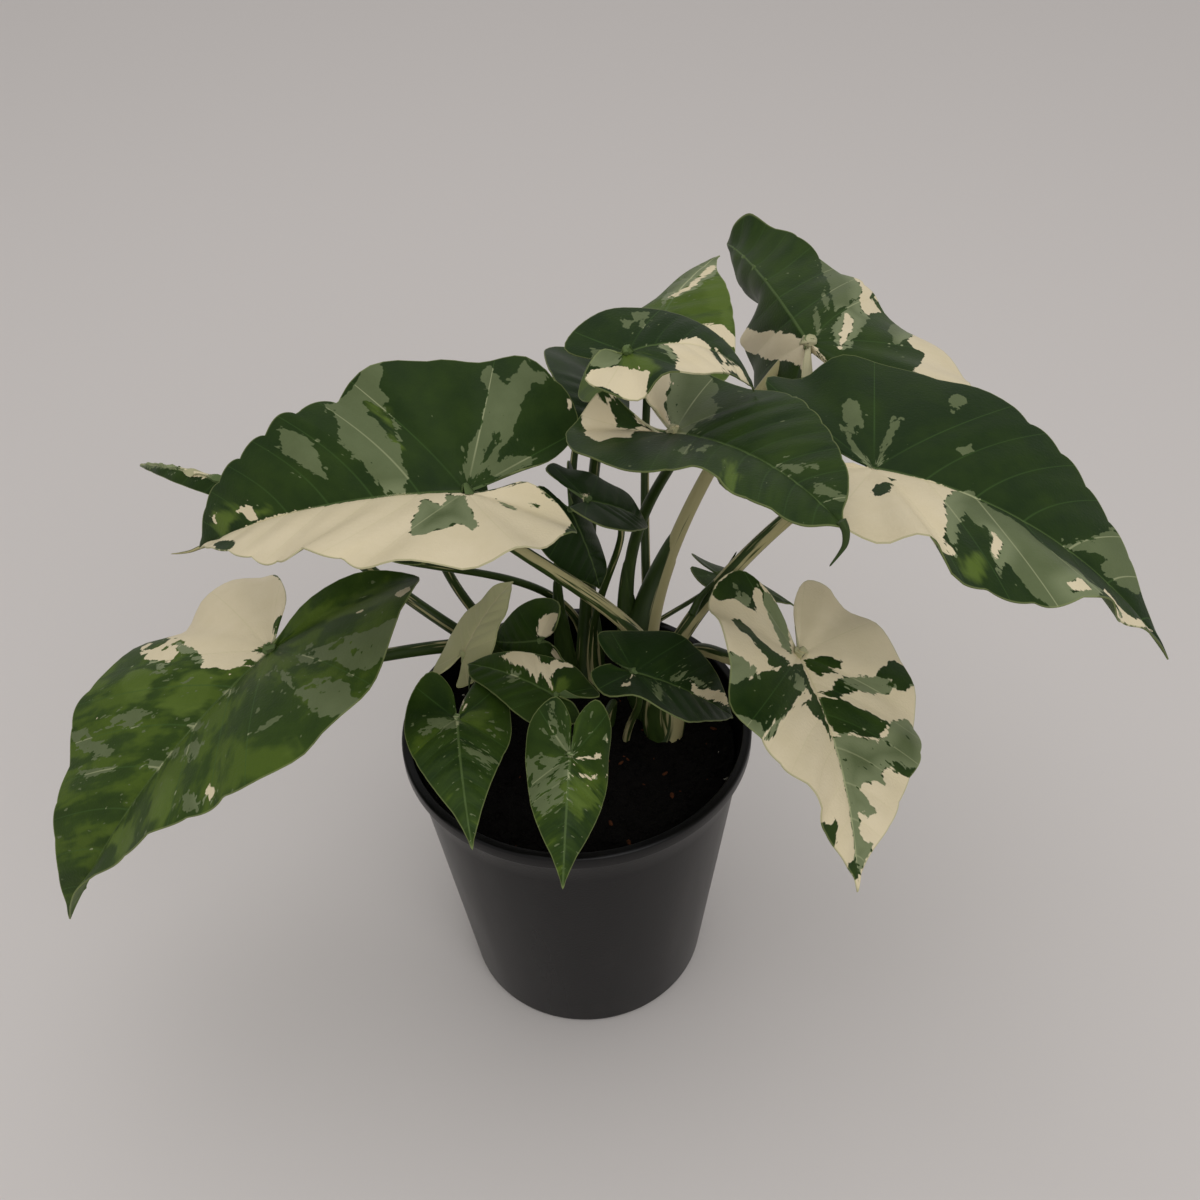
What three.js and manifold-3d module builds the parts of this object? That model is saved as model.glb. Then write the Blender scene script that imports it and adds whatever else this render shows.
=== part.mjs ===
// A silver-marked alocasia in a black nursery pot, in millimetres with +Z up.
// The origin is the middle of the pot's flat underside; +Y points to the back of the plant.
import * as THREE from 'three';
import { mergeVertices } from 'three/addons/utils/BufferGeometryUtils.js';
import Module from 'manifold-3d';

const wasm = await Module();
wasm.setup();

// Driving dimensions of the pot
const potFootRadius = 75;
const potNeckRadius = 95.6;
const potRimRadius = 100;
const potHeight = 193.5;
const rimHeight = 8;
const potWall = 1.8;
const potFloor = 2.5;
const drainHoles = 6;
const drainHoleRadius = 5.5;
const drainCircle = 46;

// Driving dimensions of the soil
const soilLevel = 172;
const soilMound = 3;
const soilGap = 0.35;
const soilRipple = 1.1;

// Driving dimensions of the leaves, their stalks and the sheaths round the stalks
const bladeThickness = 0.9;
const ribHalfWidth = 2.4;
const ribDrop = 0.75;
const veinSlope = 0.75;
const veinBow = 0.12;
const seat = 0.3;
const stalkRootZ = 150;
const sheathLength = 42;
const sheathGrip = 14;
const sheathWall = 1.1;
const sheathSwell = 3.4;

// The two crowns that the stalks rise from, each an oval plug sunk in the soil
const crownTable = {
  right: { name: 'crown_right', centre: [51.5, 15.5], radii: [14.5, 17.5] },
  back: { name: 'crown_back', centre: [4, 57.5], radii: [16.5, 16.5] },
};
const crownFootZ = 148;
const crownTopZ = 181;

// Each leaf hangs from its stalk's end at a point "at", turned by its heading, rise and roll.
// Its rib droops by so many degrees to the tip and its back lobes drop by "back"; each side is
// folded up from the rib and curls down further out. An outline point is x along the rib,
// y out from the rib and the lift of the waved edge there, from the notch round to the tip.
const leafTable = [
  {
    name: 'leaf_upper_left', crown: 'right', length: 157,
    at: [-47, -2, 355], heading: 190, rise: 9, roll: -14,
    droop: 59, back: -2, sway: -21, fold: [-24, -26], curl: [1, 16],
    stalk: [[48, 7, 166], [85, 34, 236], [-54, 13, 308]], stalkRadius: [5.0, 3.2],
    left: [[-14, 1, 1], [-28, 6, 8], [-41, 16, 2], [-48, 32, -5], [-41, 52, 3], [-27, 65, 2],
      [-12, 72, 7], [8, 74, -4], [31, 69, 1], [49, 61, -4], [68, 51, 3], [90, 41, -5], [111, 28, -1],
      [132, 15, 2], [157, 0, 0]],
    right: [[-8, -3, 0], [-27, -11, 1], [-46, -19, -1], [-59, -36, -2], [-51, -58, 4], [-34, -70, 7],
      [-12, -73, -4], [13, -74, 2], [37, -68, 4], [57, -59, -6], [78, -52, 2], [96, -43, 1],
      [115, -33, 2], [135, -21, 1], [157, 0, 0]],
  },
  {
    name: 'leaf_upper_right', crown: 'right', length: 172,
    at: [150, -5, 362], heading: -22, rise: 0, roll: -2,
    droop: 51, back: -2, sway: -5, fold: [-17, -13], curl: [13, 5],
    stalk: [[53, 8, 166], [17, 6, 237], [145, 23, 358]], stalkRadius: [5.2, 3.4],
    left: [[-11, 3, 0], [-32, 13, 0], [-53, 25, 2], [-65, 45, 6], [-52, 65, -5], [-34, 76, 5],
      [-11, 81, -1], [13, 80, -1], [38, 76, 1], [61, 67, 1], [84, 56, 0], [106, 41, -1], [127, 26, 0],
      [148, 10, -1], [172, 0, 0]],
    right: [[-10, -3, 2], [-31, -12, 1], [-52, -22, 0], [-66, -41, 0], [-53, -62, 0], [-30, -73, 1],
      [-7, -79, 4], [15, -80, -2], [32, -76, 6], [51, -70, -11], [86, -61, -8], [108, -45, 7],
      [128, -28, -2], [148, -11, 1], [172, 0, 0]],
  },
  {
    name: 'leaf_top_right', crown: 'right', length: 163,
    at: [137, 116, 366], heading: 105, rise: 11, roll: -29,
    droop: 30, back: 10, sway: 5, fold: [37, 19], curl: [31, 32],
    stalk: [[51, 16, 166], [5, 44, 249], [152, 181, 354]], stalkRadius: [5.2, 3.2],
    left: [[-4, 3, 2], [-18, 7, 8], [-36, 15, 11], [-60, 36, 1], [-56, 59, -1], [-38, 71, 0],
      [-15, 76, 0], [10, 73, 0], [35, 64, 0], [58, 52, -4], [79, 40, -1], [98, 33, -31], [118, 22, -9],
      [140, 10, -3], [163, 0, 0]],
    right: [[-3, -1, -5], [-25, -7, -3], [-50, -21, 0], [-69, -42, 2], [-62, -65, 9], [-41, -75, 2],
      [-16, -77, 1], [9, -73, -6], [34, -66, -8], [57, -58, 0], [81, -45, -1], [104, -31, 11],
      [126, -20, 13], [146, -11, 19], [163, 0, 0]],
  },
  {
    name: 'leaf_centre', crown: 'right', length: 121,
    at: [54, 0, 383], heading: -48, rise: 18, roll: -9,
    droop: 21, back: 18, sway: -23, fold: [-25, -5], curl: [13, 16],
    stalk: [[46, 22, 166], [3, 98, 266], [77, 50, 339]], stalkRadius: [4.2, 2.4],
    left: [[-6, 3, 0], [-21, 10, 2], [-36, 16, 1], [-48, 27, 1], [-41, 38, 11], [-26, 45, 3],
      [-8, 47, -2], [10, 47, -4], [28, 45, -2], [45, 42, 0], [61, 37, 0], [76, 31, 0], [91, 24, 1],
      [106, 16, 1], [121, 0, 0]],
    right: [[-6, -5, -1], [-21, -9, 9], [-37, -14, 17], [-46, -22, -1], [-38, -36, -1], [-23, -44, 0],
      [-6, -47, 1], [11, -48, -2], [28, -46, -1], [44, -41, 2], [60, -35, 6], [75, -30, -1],
      [91, -23, -2], [108, -16, -3], [121, 0, 0]],
  },
  {
    name: 'leaf_lower_right', crown: 'right', length: 123,
    at: [117, -32, 267], heading: -72, rise: -14, roll: -21,
    droop: 37, back: 3, sway: -1, fold: [-13, -16], curl: [14, 8],
    stalk: [[57, 19, 166], [60, 53, 253], [86, -37, 239]], stalkRadius: [4.6, 3.2],
    left: [[-3, 1, 0], [-16, 6, 0], [-33, 13, 0], [-46, 26, 0], [-41, 40, -1], [-28, 48, -5],
      [-12, 55, 3], [8, 59, 2], [27, 58, 3], [45, 53, -2], [62, 46, 4], [77, 34, 0], [93, 21, 1],
      [108, 7, -1], [123, 0, 0]],
    right: [[-3, -1, 0], [-19, -2, 3], [-36, -9, 6], [-48, -22, 5], [-41, -39, -1], [-26, -50, -3],
      [-9, -56, 5], [10, -59, 2], [29, -59, -8], [46, -53, -3], [62, -44, -1], [76, -32, 6],
      [92, -21, -2], [109, -9, 0], [123, 0, 0]],
  },
  {
    name: 'leaf_top_back', crown: 'right', length: 106,
    at: [49, 95, 382], heading: 77, rise: 5, roll: -15,
    droop: 13, back: 2, sway: -22, fold: [8, 10], curl: [21, 28],
    stalk: [[48, 27, 166], [40, 51, 210], [47, 172, 310]], stalkRadius: [3.2, 2.1],
    left: [[-3, 3, 0], [-24, 10, 0], [-41, 26, 0], [-26, 42, 0], [-2, 47, 0], [22, 43, 0], [45, 34, 1],
      [65, 22, -2], [85, 10, 1], [106, 0, 0]],
    right: [[-3, -3, 0], [-23, -11, 1], [-40, -26, 3], [-25, -42, 0], [-2, -46, -2], [21, -42, -1],
      [44, -34, 0], [65, -23, 1], [85, -9, 0], [106, 0, 0]],
  },
  {
    name: 'young_leaf_right', crown: 'right', length: 51,
    at: [92, 100, 216], heading: -12, rise: -14, roll: -15,
    droop: 15, back: 28, sway: 1, fold: [8, 4], curl: [6, 8],
    stalk: [[53, 23, 166], [14, 67, 217], [56, 90, 176]], stalkRadius: [2.0, 1.4],
    width: [0.96, 0.9],
  },
  {
    name: 'leaf_lower_left', crown: 'back', length: 191,
    at: [-160, -8, 262], heading: 227, rise: -12, roll: 7,
    droop: 57, back: -16, sway: -29, fold: [-25, -13], curl: [26, 33],
    stalk: [[-4, 58, 166], [-33, 66, 240], [-167, -10, 222]], stalkRadius: [4.6, 3.2],
    left: [[-3, 1, 2], [-30, 7, 11], [-58, 19, 11], [-75, 39, 1], [-58, 62, 6], [-32, 79, 3],
      [-8, 90, -3], [14, 94, -1], [35, 91, -5], [59, 81, 1], [81, 66, -2], [102, 48, 3], [127, 32, 1],
      [154, 16, 7], [191, 0, 0]],
    right: [[-3, -2, -1], [-21, -14, 2], [-40, -28, 8], [-56, -46, -1], [-44, -67, -12], [-27, -81, -1],
      [-7, -88, -2], [15, -90, -10], [38, -88, 3], [61, -82, 8], [84, -71, 12], [109, -56, 4],
      [132, -41, 6], [156, -24, 3], [191, 0, 0]],
  },
  {
    name: 'leaf_top_centre', crown: 'back', length: 74,
    at: [33, 2, 425], heading: 10, rise: 17, roll: -2,
    droop: 85, back: 11, sway: 4, fold: [-12, -1], curl: [7, 7],
    stalk: [[5, 53, 166], [15, 102, 288], [11, 69, 336]], stalkRadius: [3.8, 2.6],
    left: [[-3, 1, 0], [-15, 3, 0], [-27, 16, 0], [-18, 29, 1], [-3, 34, 2], [12, 32, -1], [28, 26, -1],
      [44, 18, 0], [59, 10, 0], [74, 0, 0]],
    right: [[-3, -1, 1], [-12, -2, 7], [-23, -13, 2], [-15, -27, 0], [-3, -33, -5], [10, -31, 3],
      [27, -27, -1], [43, -19, -1], [58, -10, -2], [74, 0, 0]],
  },
  {
    name: 'leaf_back_centre', crown: 'back', length: 81,
    at: [27, 143, 322], heading: -96, rise: 19, roll: -49,
    droop: 28, back: 13, sway: 8, fold: [7, 4], curl: [18, 19],
    stalk: [[9, 62, 166], [17, 78, 228], [-20, 117, 309]], stalkRadius: [3.0, 2.0],
    width: [0.51, 1.28],
  },
  {
    name: 'leaf_inner', crown: 'back', length: 57,
    at: [12, 17, 334], heading: 25, rise: -27, roll: 12,
    droop: 38, back: 14, sway: 18, fold: [-8, -13], curl: [18, 6],
    stalk: [[12, 50, 166], [-2, 68, 240], [57, 46, 299]], stalkRadius: [2.6, 1.7],
    left: [[-3, 4, 0], [-12, 7, 0], [-22, 15, 0], [-13, 24, 1], [-1, 26, -1], [12, 25, 0], [24, 20, 0],
      [36, 14, 2], [46, 7, 1], [57, 0, 0]],
    right: [[-3, -5, -1], [-12, -8, -2], [-21, -16, 0], [-13, -24, 1], [-1, -26, 0], [12, -25, 0],
      [24, -20, 0], [35, -14, 0], [46, -7, 0], [57, 0, 0]],
  },
  {
    name: 'leaf_inner_hanging', crown: 'back', length: 59,
    at: [2, 43, 310], heading: -35, rise: -63, roll: 3,
    droop: 35, back: 25, sway: 17, fold: [13, 7], curl: [29, 20],
    stalk: [[-3, 52, 166], [-3, 51, 216], [-16, 58, 274]], stalkRadius: [2.6, 1.7],
    left: [[-3, 2, 2], [-10, 6, 0], [-21, 14, 0], [-14, 23, 0], [-1, 26, 0], [12, 25, -1], [25, 21, -1],
      [37, 15, 1], [49, 8, 3], [59, 0, 0]],
    right: [[-3, -2, 0], [-12, -6, 0], [-22, -14, 0], [-14, -23, 0], [-1, -26, 0], [12, -25, 0],
      [25, -21, 0], [37, -15, 0], [48, -7, 0], [59, 0, 0]],
  },
  {
    name: 'leaf_far_left', crown: 'back', length: 102,
    at: [-169, 45, 330], heading: 166, rise: 14, roll: -44,
    droop: 67, back: 25, sway: 2, fold: [12, 11], curl: [20, 20],
    stalk: [[-8, 61, 166], [-63, 34, 205], [-188, 110, 307]], stalkRadius: [4.4, 2.8],
    width: [0.2, 0.04],
  },
  {
    name: 'leaf_behind_left', crown: 'back', length: 72,
    at: [-72, 43, 325], heading: 87, rise: 16, roll: 5,
    droop: 30, back: 25, sway: -1, fold: [11, 12], curl: [19, 20],
    stalk: [[1, 58, 166], [-77, 71, 202], [-87, 82, 280]], stalkRadius: [3.6, 2.4],
    width: [0.99, 1.02],
  },
  {
    name: 'leaf_under_left', crown: 'back', length: 46,
    at: [-87, 19, 309], heading: 182, rise: 22, roll: 6,
    droop: 33, back: 25, sway: -1, fold: [-3, -1], curl: [13, 13],
    stalk: [[4, 65, 166], [25, 105, 239], [-110, 30, 274]], stalkRadius: [2.8, 1.8],
    width: [0.83, 1.08],
  },
  {
    name: 'young_leaf_front_left', crown: null, length: 70,
    at: [-57, -64, 262], heading: -84, rise: 4, roll: 1,
    droop: 48, back: 26, sway: 3, fold: [13, -1], curl: [16, 19],
    stalk: [[-48, 10, 166], [-49, -2, 206], [-54, -84, 232]], stalkRadius: [2.2, 1.5],
    left: [[-3, 1, 0], [-16, 5, -4], [-28, 15, -4], [-19, 25, 1], [-4, 28, 0], [12, 26, 0], [26, 20, 0],
      [40, 13, 0], [55, 6, 0], [70, 0, 0]],
    right: [[-3, -1, -1], [-19, -2, 2], [-30, -11, 4], [-20, -23, 0], [-4, -27, 0], [12, -25, 0],
      [27, -20, 0], [41, -13, 0], [55, -5, 0], [70, 0, 0]],
  },
  {
    name: 'young_leaf_front', crown: null, length: 63,
    at: [-1, -92, 262], heading: -96, rise: -22, roll: -5,
    droop: 38, back: 18, sway: 2, fold: [20, 13], curl: [26, 23],
    stalk: [[18, 13, 166], [32, 19, 238], [3, -89, 230]], stalkRadius: [2.2, 1.5],
    left: [[-6, 1, 0], [-19, 2, 0], [-29, 11, 1], [-19, 21, 0], [-4, 23, -2], [11, 22, -1], [25, 18, 0],
      [38, 12, 0], [50, 5, 0], [63, 0, 0]],
    right: [[-7, -1, -1], [-20, -2, 0], [-29, -10, 0], [-19, -21, 1], [-5, -24, 0], [10, -22, -1],
      [25, -18, 0], [38, -12, 0], [50, -5, 0], [63, 0, 0]],
  },
  {
    name: 'young_leaf_centre_left', crown: null, length: 53,
    at: [-9, -46, 258], heading: 153, rise: 20, roll: -3,
    droop: 38, back: 22, sway: -1, fold: [-4, -3], curl: [17, 15],
    stalk: [[-4, 18, 166], [-5, 9, 200], [-28, -34, 239]], stalkRadius: [2.2, 1.5],
    left: [[-3, 1, 3], [-12, 2, 4], [-19, 8, 1], [-11, 16, 1], [0, 21, 0], [12, 20, 0], [23, 17, 1],
      [34, 13, 0], [45, 9, 0], [53, 0, 0]],
    right: [[-3, -5, 2], [-12, -6, 1], [-20, -12, 0], [-11, -19, -1], [0, -23, 1], [12, -22, 0],
      [23, -19, 0], [34, -14, 1], [44, -9, 0], [53, 0, 0]],
  },
  {
    name: 'young_leaf_centre_right', crown: null, length: 66,
    at: [32, -35, 262], heading: -11, rise: -13, roll: 3,
    droop: 48, back: 21, sway: 18, fold: [-10, -16], curl: [10, -4],
    stalk: [[28, 4, 166], [29, -1, 201], [41, -35, 233]], stalkRadius: [2.4, 1.6],
    left: [[-3, 1, 0], [-15, 4, 0], [-24, 14, 0], [-13, 25, -3], [2, 30, -1], [17, 31, 3], [30, 27, 2],
      [43, 20, 1], [54, 11, 0], [66, 0, 0]],
    right: [[-3, -1, -4], [-14, -5, 3], [-23, -15, -1], [-13, -26, -3], [2, -30, 4], [16, -30, 1],
      [30, -26, -2], [42, -18, -1], [54, -10, 0], [66, 0, 0]],
  },
  {
    name: 'young_leaf_pale', crown: null, length: 50,
    at: [-60, 5, 244], heading: 53, rise: 42, roll: -17,
    droop: 35, back: 32, sway: 9, fold: [6, -5], curl: [14, 7],
    stalk: [[-46, 36, 166], [-48, 32, 194], [-42, 20, 237]], stalkRadius: [2.2, 1.5],
    left: [[-3, 3, 0], [-10, 6, -1], [-19, 13, -1], [-12, 20, 0], [-1, 23, 0], [10, 22, 0], [21, 18, 1],
      [31, 13, 0], [42, 8, 2], [50, 0, 0]],
    right: [[-3, -7, -6], [-9, -8, 0], [-19, -13, 0], [-12, -20, 0], [-2, -22, 0], [10, -21, 0],
      [21, -17, 1], [31, -13, -1], [41, -7, 0], [50, 0, 0]],
  },
  {
    name: 'young_leaf_back', crown: null, length: 42,
    at: [-19, 24, 234], heading: 168, rise: -17, roll: -71,
    droop: 50, back: 76, sway: 5, fold: [6, 14], curl: [18, 22],
    stalk: [[-10, 36, 166], [-11, 35, 189], [-23, 42, 226]], stalkRadius: [2.2, 1.5],
    width: [1.07, 1.27],
  },
];

// The outline of a small plain leaf, as shares of its length, and its width by side
const plainOutline = [
  [-0.03, 0.012], [-0.25, 0.09], [-0.4, 0.24], [-0.26, 0.4], [-0.03, 0.46],
  [0.19, 0.43], [0.41, 0.36], [0.61, 0.24], [0.8, 0.12], [1, 0],
];

// How finely each size of leaf is divided: rows round the back lobes and up the rib, columns
// from the rib to the edge, and rings and sides of the stalk
const divisions = {
  large: { lobeRows: 6, ribRows: 13, columns: [0.33, 0.67, 1], rings: 8, sides: 8 },
  middle: { lobeRows: 5, ribRows: 8, columns: [0.5, 1], rings: 6, sides: 6 },
  plain: { lobeRows: 4, ribRows: 6, columns: [0.5, 1], rings: 5, sides: 6 },
};

function material(color, roughness) {
  return new THREE.MeshStandardMaterial({ color, roughness, metalness: 0 });
}

// A closed list of triangles becomes a solid, turned outwards if it is inside out
function solidFromTriangles(points, triangles) {
  let volume = 0;
  for (const [a, b, c] of triangles) {
    volume += points[a].dot(new THREE.Vector3().crossVectors(points[b], points[c])) / 6;
  }
  const outward = triangles.map(([a, b, c]) => (volume < 0 ? [a, c, b] : [a, b, c]));
  return new wasm.Manifold(new wasm.Mesh({
    numProp: 3,
    vertProperties: Float32Array.from(points.flatMap((p) => [p.x, p.y, p.z])),
    triVerts: Uint32Array.from(outward.flat()),
  }));
}

// A three.js geometry with closed faces becomes a solid
function solidFromGeometry(geometry) {
  geometry.deleteAttribute('normal');
  geometry.deleteAttribute('uv');
  const merged = mergeVertices(geometry, 1e-4);
  const position = merged.getAttribute('position');
  const points = [];
  for (let i = 0; i < position.count; i += 1) {
    points.push(new THREE.Vector3().fromBufferAttribute(position, i));
  }
  const triangles = [];
  for (let i = 0; i < merged.index.count; i += 3) {
    const [a, b, c] = [0, 1, 2].map((k) => merged.index.getX(i + k));
    if (a !== b && b !== c && c !== a) triangles.push([a, b, c]);
  }
  return solidFromTriangles(points, triangles);
}

function largestPiece(solid) {
  return solid.decompose().reduce((best, piece) => (piece.volume() > best.volume() ? piece : best));
}

function meshOf(name, solid, finish) {
  const { vertProperties, triVerts } = solid.getMesh();
  const geometry = new THREE.BufferGeometry();
  geometry.setAttribute('position', new THREE.BufferAttribute(Float32Array.from(vertProperties), 3));
  geometry.setIndex(new THREE.BufferAttribute(Uint32Array.from(triVerts), 1));
  const mesh = new THREE.Mesh(geometry, finish);
  mesh.name = name;
  return mesh;
}

// A profile of [radius, height] pairs turned round the upright axis
function turned(profile, sides) {
  const geometry = new THREE.LatheGeometry(profile.map(([r, z]) => new THREE.Vector2(r, z)), sides);
  return geometry.rotateX(Math.PI / 2);
}

// A round bar of stations [distance along the stalk, radius] that follows the stalk's curve
function barAlong(stalk, stations, sides) {
  const length = stalk.getLength();
  const geometry = new THREE.LatheGeometry(
    [[stations[0][0], 0], ...stations, [stations.at(-1)[0], 0]]
      .map(([distance, radius]) => new THREE.Vector2(radius, distance)),
    sides,
  );
  const position = geometry.getAttribute('position');
  const local = new THREE.Vector3();
  const sideways = new THREE.Vector3(0.3, 1, 0.1);
  for (let i = 0; i < position.count; i += 1) {
    local.fromBufferAttribute(position, i);
    const along = THREE.MathUtils.clamp(local.y / length, 0, 1);
    const centre = stalk.getPointAt(along);
    const tangent = stalk.getTangentAt(along);
    const across = new THREE.Vector3().crossVectors(tangent, sideways).normalize();
    const over = new THREE.Vector3().crossVectors(tangent, across);
    centre.addScaledVector(tangent, local.y - along * length);
    centre.addScaledVector(across, local.x).addScaledVector(over, local.z);
    position.setXYZ(i, centre.x, centre.y, centre.z);
  }
  return solidFromGeometry(geometry);
}

// The three directions of a leaf at its stalk: along the rib, to its left and out of its face
function leafAxes(leaf) {
  const heading = THREE.MathUtils.degToRad(leaf.heading);
  const rise = THREE.MathUtils.degToRad(leaf.rise);
  const roll = THREE.MathUtils.degToRad(leaf.roll);
  const along = new THREE.Vector3(
    Math.cos(rise) * Math.cos(heading),
    Math.cos(rise) * Math.sin(heading),
    Math.sin(rise),
  );
  const left = new THREE.Vector3(-Math.sin(heading), Math.cos(heading), 0).applyAxisAngle(along, roll);
  const out = new THREE.Vector3().crossVectors(along, left);
  return { along, left, out };
}

// A drop of so many degrees spread evenly over a length: how far along and how far down
function arcAt(distance, length, degrees) {
  const bend = THREE.MathUtils.degToRad(degrees) || 1e-4;
  const angle = (bend * distance) / length;
  return { angle, run: (length / bend) * Math.sin(angle), drop: (length / bend) * (1 - Math.cos(angle)) };
}

// The place in space of a point of the blade; side is 1 to the left of the rib and -1 to the right
function bladePoint(leaf, axes, side, x, y, lift) {
  const lobeLength = 0.4 * leaf.length;
  const halfWidth = 0.45 * leaf.length;
  const rib = x >= 0 ? arcAt(x, leaf.length, leaf.droop) : arcAt(x, lobeLength, -leaf.back);
  const fold = THREE.MathUtils.degToRad(leaf.fold[side > 0 ? 0 : 1]);
  const curl = THREE.MathUtils.degToRad(leaf.curl[side > 0 ? 0 : 1]) || 1e-4;
  const tilt = fold + (curl * y) / halfWidth;
  const reach = (halfWidth / curl) * (Math.sin(tilt) - Math.sin(fold)) + lift * Math.sin(tilt);
  const height = -(halfWidth / curl) * (Math.cos(fold) - Math.cos(tilt)) + lift * Math.cos(tilt);
  const sway = x > 0 ? (THREE.MathUtils.degToRad(leaf.sway) * x * x) / (2 * leaf.length) : 0;
  return new THREE.Vector3(...leaf.at)
    .addScaledVector(axes.along, rib.run + height * Math.sin(rib.angle))
    .addScaledVector(axes.left, side * reach + sway)
    .addScaledVector(axes.out, -rib.drop + height * Math.cos(rib.angle));
}

function outlineOf(leaf, side) {
  if (leaf.width) {
    const share = leaf.width[side > 0 ? 0 : 1];
    return plainOutline.map(([x, y]) => [x * leaf.length, y * leaf.length * share, 0]);
  }
  return (side > 0 ? leaf.left : leaf.right).map(([x, y, lift]) => [x, Math.abs(y), lift]);
}

function sizeClass(leaf) {
  if (leaf.width) return 'plain';
  return leaf.left.length > 10 ? 'large' : 'middle';
}

// Where each row of one side meets the edge: fanned round the back lobe from the stalk, then
// from even stations up the rib along the side veins, which slope towards the tip
function edgeRows(leaf, side) {
  const { lobeRows, ribRows } = divisions[sizeClass(leaf)];
  const edge = new THREE.CatmullRomCurve3(
    outlineOf(leaf, side).map(([x, y, lift]) => new THREE.Vector3(x, y, lift)),
    false,
    'catmullrom',
  );
  const footAt = (share) => {
    const end = edge.getPoint(share);
    return end.x - veinSlope * Math.max(end.y, 0);
  };
  const shareAtFoot = (foot) => {
    const samples = 300;
    let index = samples;
    while (index > 0 && footAt((index - 1) / samples) > foot) index -= 1;
    return index / samples;
  };
  const lobeEnd = shareAtFoot(0);
  const rows = [];
  for (let row = 0; row <= lobeRows; row += 1) {
    rows.push({ foot: 0, end: edge.getPoint((lobeEnd * row) / lobeRows) });
  }
  for (let row = 1; row <= ribRows; row += 1) {
    const foot = (leaf.length * row) / ribRows;
    rows.push({ foot, end: edge.getPoint(row === ribRows ? 1 : shareAtFoot(foot)) });
  }
  return rows;
}

// A thin waved blade with its rib standing out below
function bladeSolid(leaf, axes) {
  const { columns } = divisions[sizeClass(leaf)];
  const middle = [];
  const ribDepth = [];
  const indexAt = new Map();
  const place = (point, depth) => {
    const key = point.toArray().map((value) => value.toFixed(3)).join();
    if (!indexAt.has(key)) {
      indexAt.set(key, middle.length);
      middle.push(point);
      ribDepth.push(depth);
    }
    return indexAt.get(key);
  };
  const face = [];
  const addTriangle = (side, a, b, c) => {
    if (a !== b && b !== c && c !== a) face.push(side > 0 ? [a, b, c] : [a, c, b]);
  };
  for (const side of [1, -1]) {
    const grid = edgeRows(leaf, side).map(({ foot, end }) => {
      const reach = Math.max(end.y, 0);
      const taper = 1 - foot / leaf.length;
      const ribShare = Math.min((ribHalfWidth * (taper + 0.3)) / Math.hypot(reach, end.x - foot), 0.2);
      const shares = sizeClass(leaf) === 'large' ? [0, ribShare || 0, ...columns] : [0, ...columns];
      return shares.map((t) => {
        const bow = (veinBow * reach * 4 * t * (1 - t) * foot) / (foot + 30);
        const x = foot + (end.x - foot) * t - bow;
        const depth = t === 0 ? ribDrop * leaf.stalkRadius[1] * taper + 0.2 : 0;
        return place(bladePoint(leaf, axes, side, x, reach * t, end.z * t * t), depth);
      });
    });
    for (let row = 0; row + 1 < grid.length; row += 1) {
      for (let column = 0; column + 1 < grid[row].length; column += 1) {
        const [a, b] = [grid[row][column], grid[row][column + 1]];
        const [d, c] = [grid[row + 1][column], grid[row + 1][column + 1]];
        addTriangle(side, a, b, c);
        addTriangle(side, a, c, d);
      }
    }
  }

  const normals = middle.map(() => new THREE.Vector3());
  for (const triangle of face) {
    const [a, b, c] = triangle.map((index) => middle[index]);
    const normal = new THREE.Vector3().crossVectors(b.clone().sub(a), c.clone().sub(a));
    triangle.forEach((index) => normals[index].add(normal));
  }
  normals.forEach((normal) => normal.setLength(bladeThickness / 2));

  // Both faces have the same triangles; a wall closes every edge that only one triangle uses
  const points = [
    ...middle.map((point, i) => point.clone().add(normals[i])),
    ...middle.map((point, i) => point.clone().addScaledVector(normals[i], -1 - ribDepth[i] / bladeThickness)),
  ];
  const under = middle.length;
  const solid = [];
  const open = new Map();
  for (const [a, b, c] of face) {
    solid.push([a, b, c], [a + under, c + under, b + under]);
    for (const [from, to] of [[a, b], [b, c], [c, a]]) {
      if (!open.delete(`${to},${from}`)) open.set(`${from},${to}`, [from, to]);
    }
  }
  for (const [from, to] of open.values()) {
    solid.push([from, from + under, to + under], [from, to + under, to]);
  }
  return solidFromTriangles(points, solid);
}

// The stalk's curve from the crown or the soil up to the leaf, whose rib it meets from below
function stalkOf(leaf, axes) {
  const end = new THREE.Vector3(...leaf.at).addScaledVector(axes.out, -0.6 * leaf.stalkRadius[1]);
  const [root, low, high] = leaf.stalk.map((point) => new THREE.Vector3(...point));
  return new THREE.CubicBezierCurve3(root, low, high, end);
}

function stalkRadiusAt(leaf, stalk, distance) {
  return THREE.MathUtils.mapLinear(distance, 0, stalk.getLength(), ...leaf.stalkRadius);
}

// Where a leaf's stalk starts: gripped in its sheath, or below the soil's surface
function stalkStart(leaf) {
  return leaf.crown ? sheathLength - sheathGrip : stalkRootZ - leaf.stalk[0][2];
}

// The distances of a stalk's rings, with one at the open end of its sheath
function stalkRings(leaf, stalk) {
  const { rings } = divisions[sizeClass(leaf)];
  const start = stalkStart(leaf) + seat;
  const first = leaf.crown ? sheathLength : 0;
  const distances = [start];
  for (let ring = 0; ring <= rings; ring += 1) {
    distances.push(THREE.MathUtils.lerp(first, stalk.getLength(), ring / rings));
  }
  return distances;
}

function stalkBar(leaf, axes) {
  const stalk = stalkOf(leaf, axes);
  const stations = stalkRings(leaf, stalk)
    .map((distance) => [distance, stalkRadiusAt(leaf, stalk, distance)]);
  const tipRadius = leaf.stalkRadius[1];
  stations.push([stalk.getLength() + 0.6 * tipRadius, 0.5 * tipRadius]);
  return barAlong(stalk, stations, divisions[sizeClass(leaf)].sides);
}

function leafSolid(leaf) {
  const axes = leafAxes(leaf);
  return largestPiece(bladeSolid(leaf, axes).add(stalkBar(leaf, axes)));
}

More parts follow.
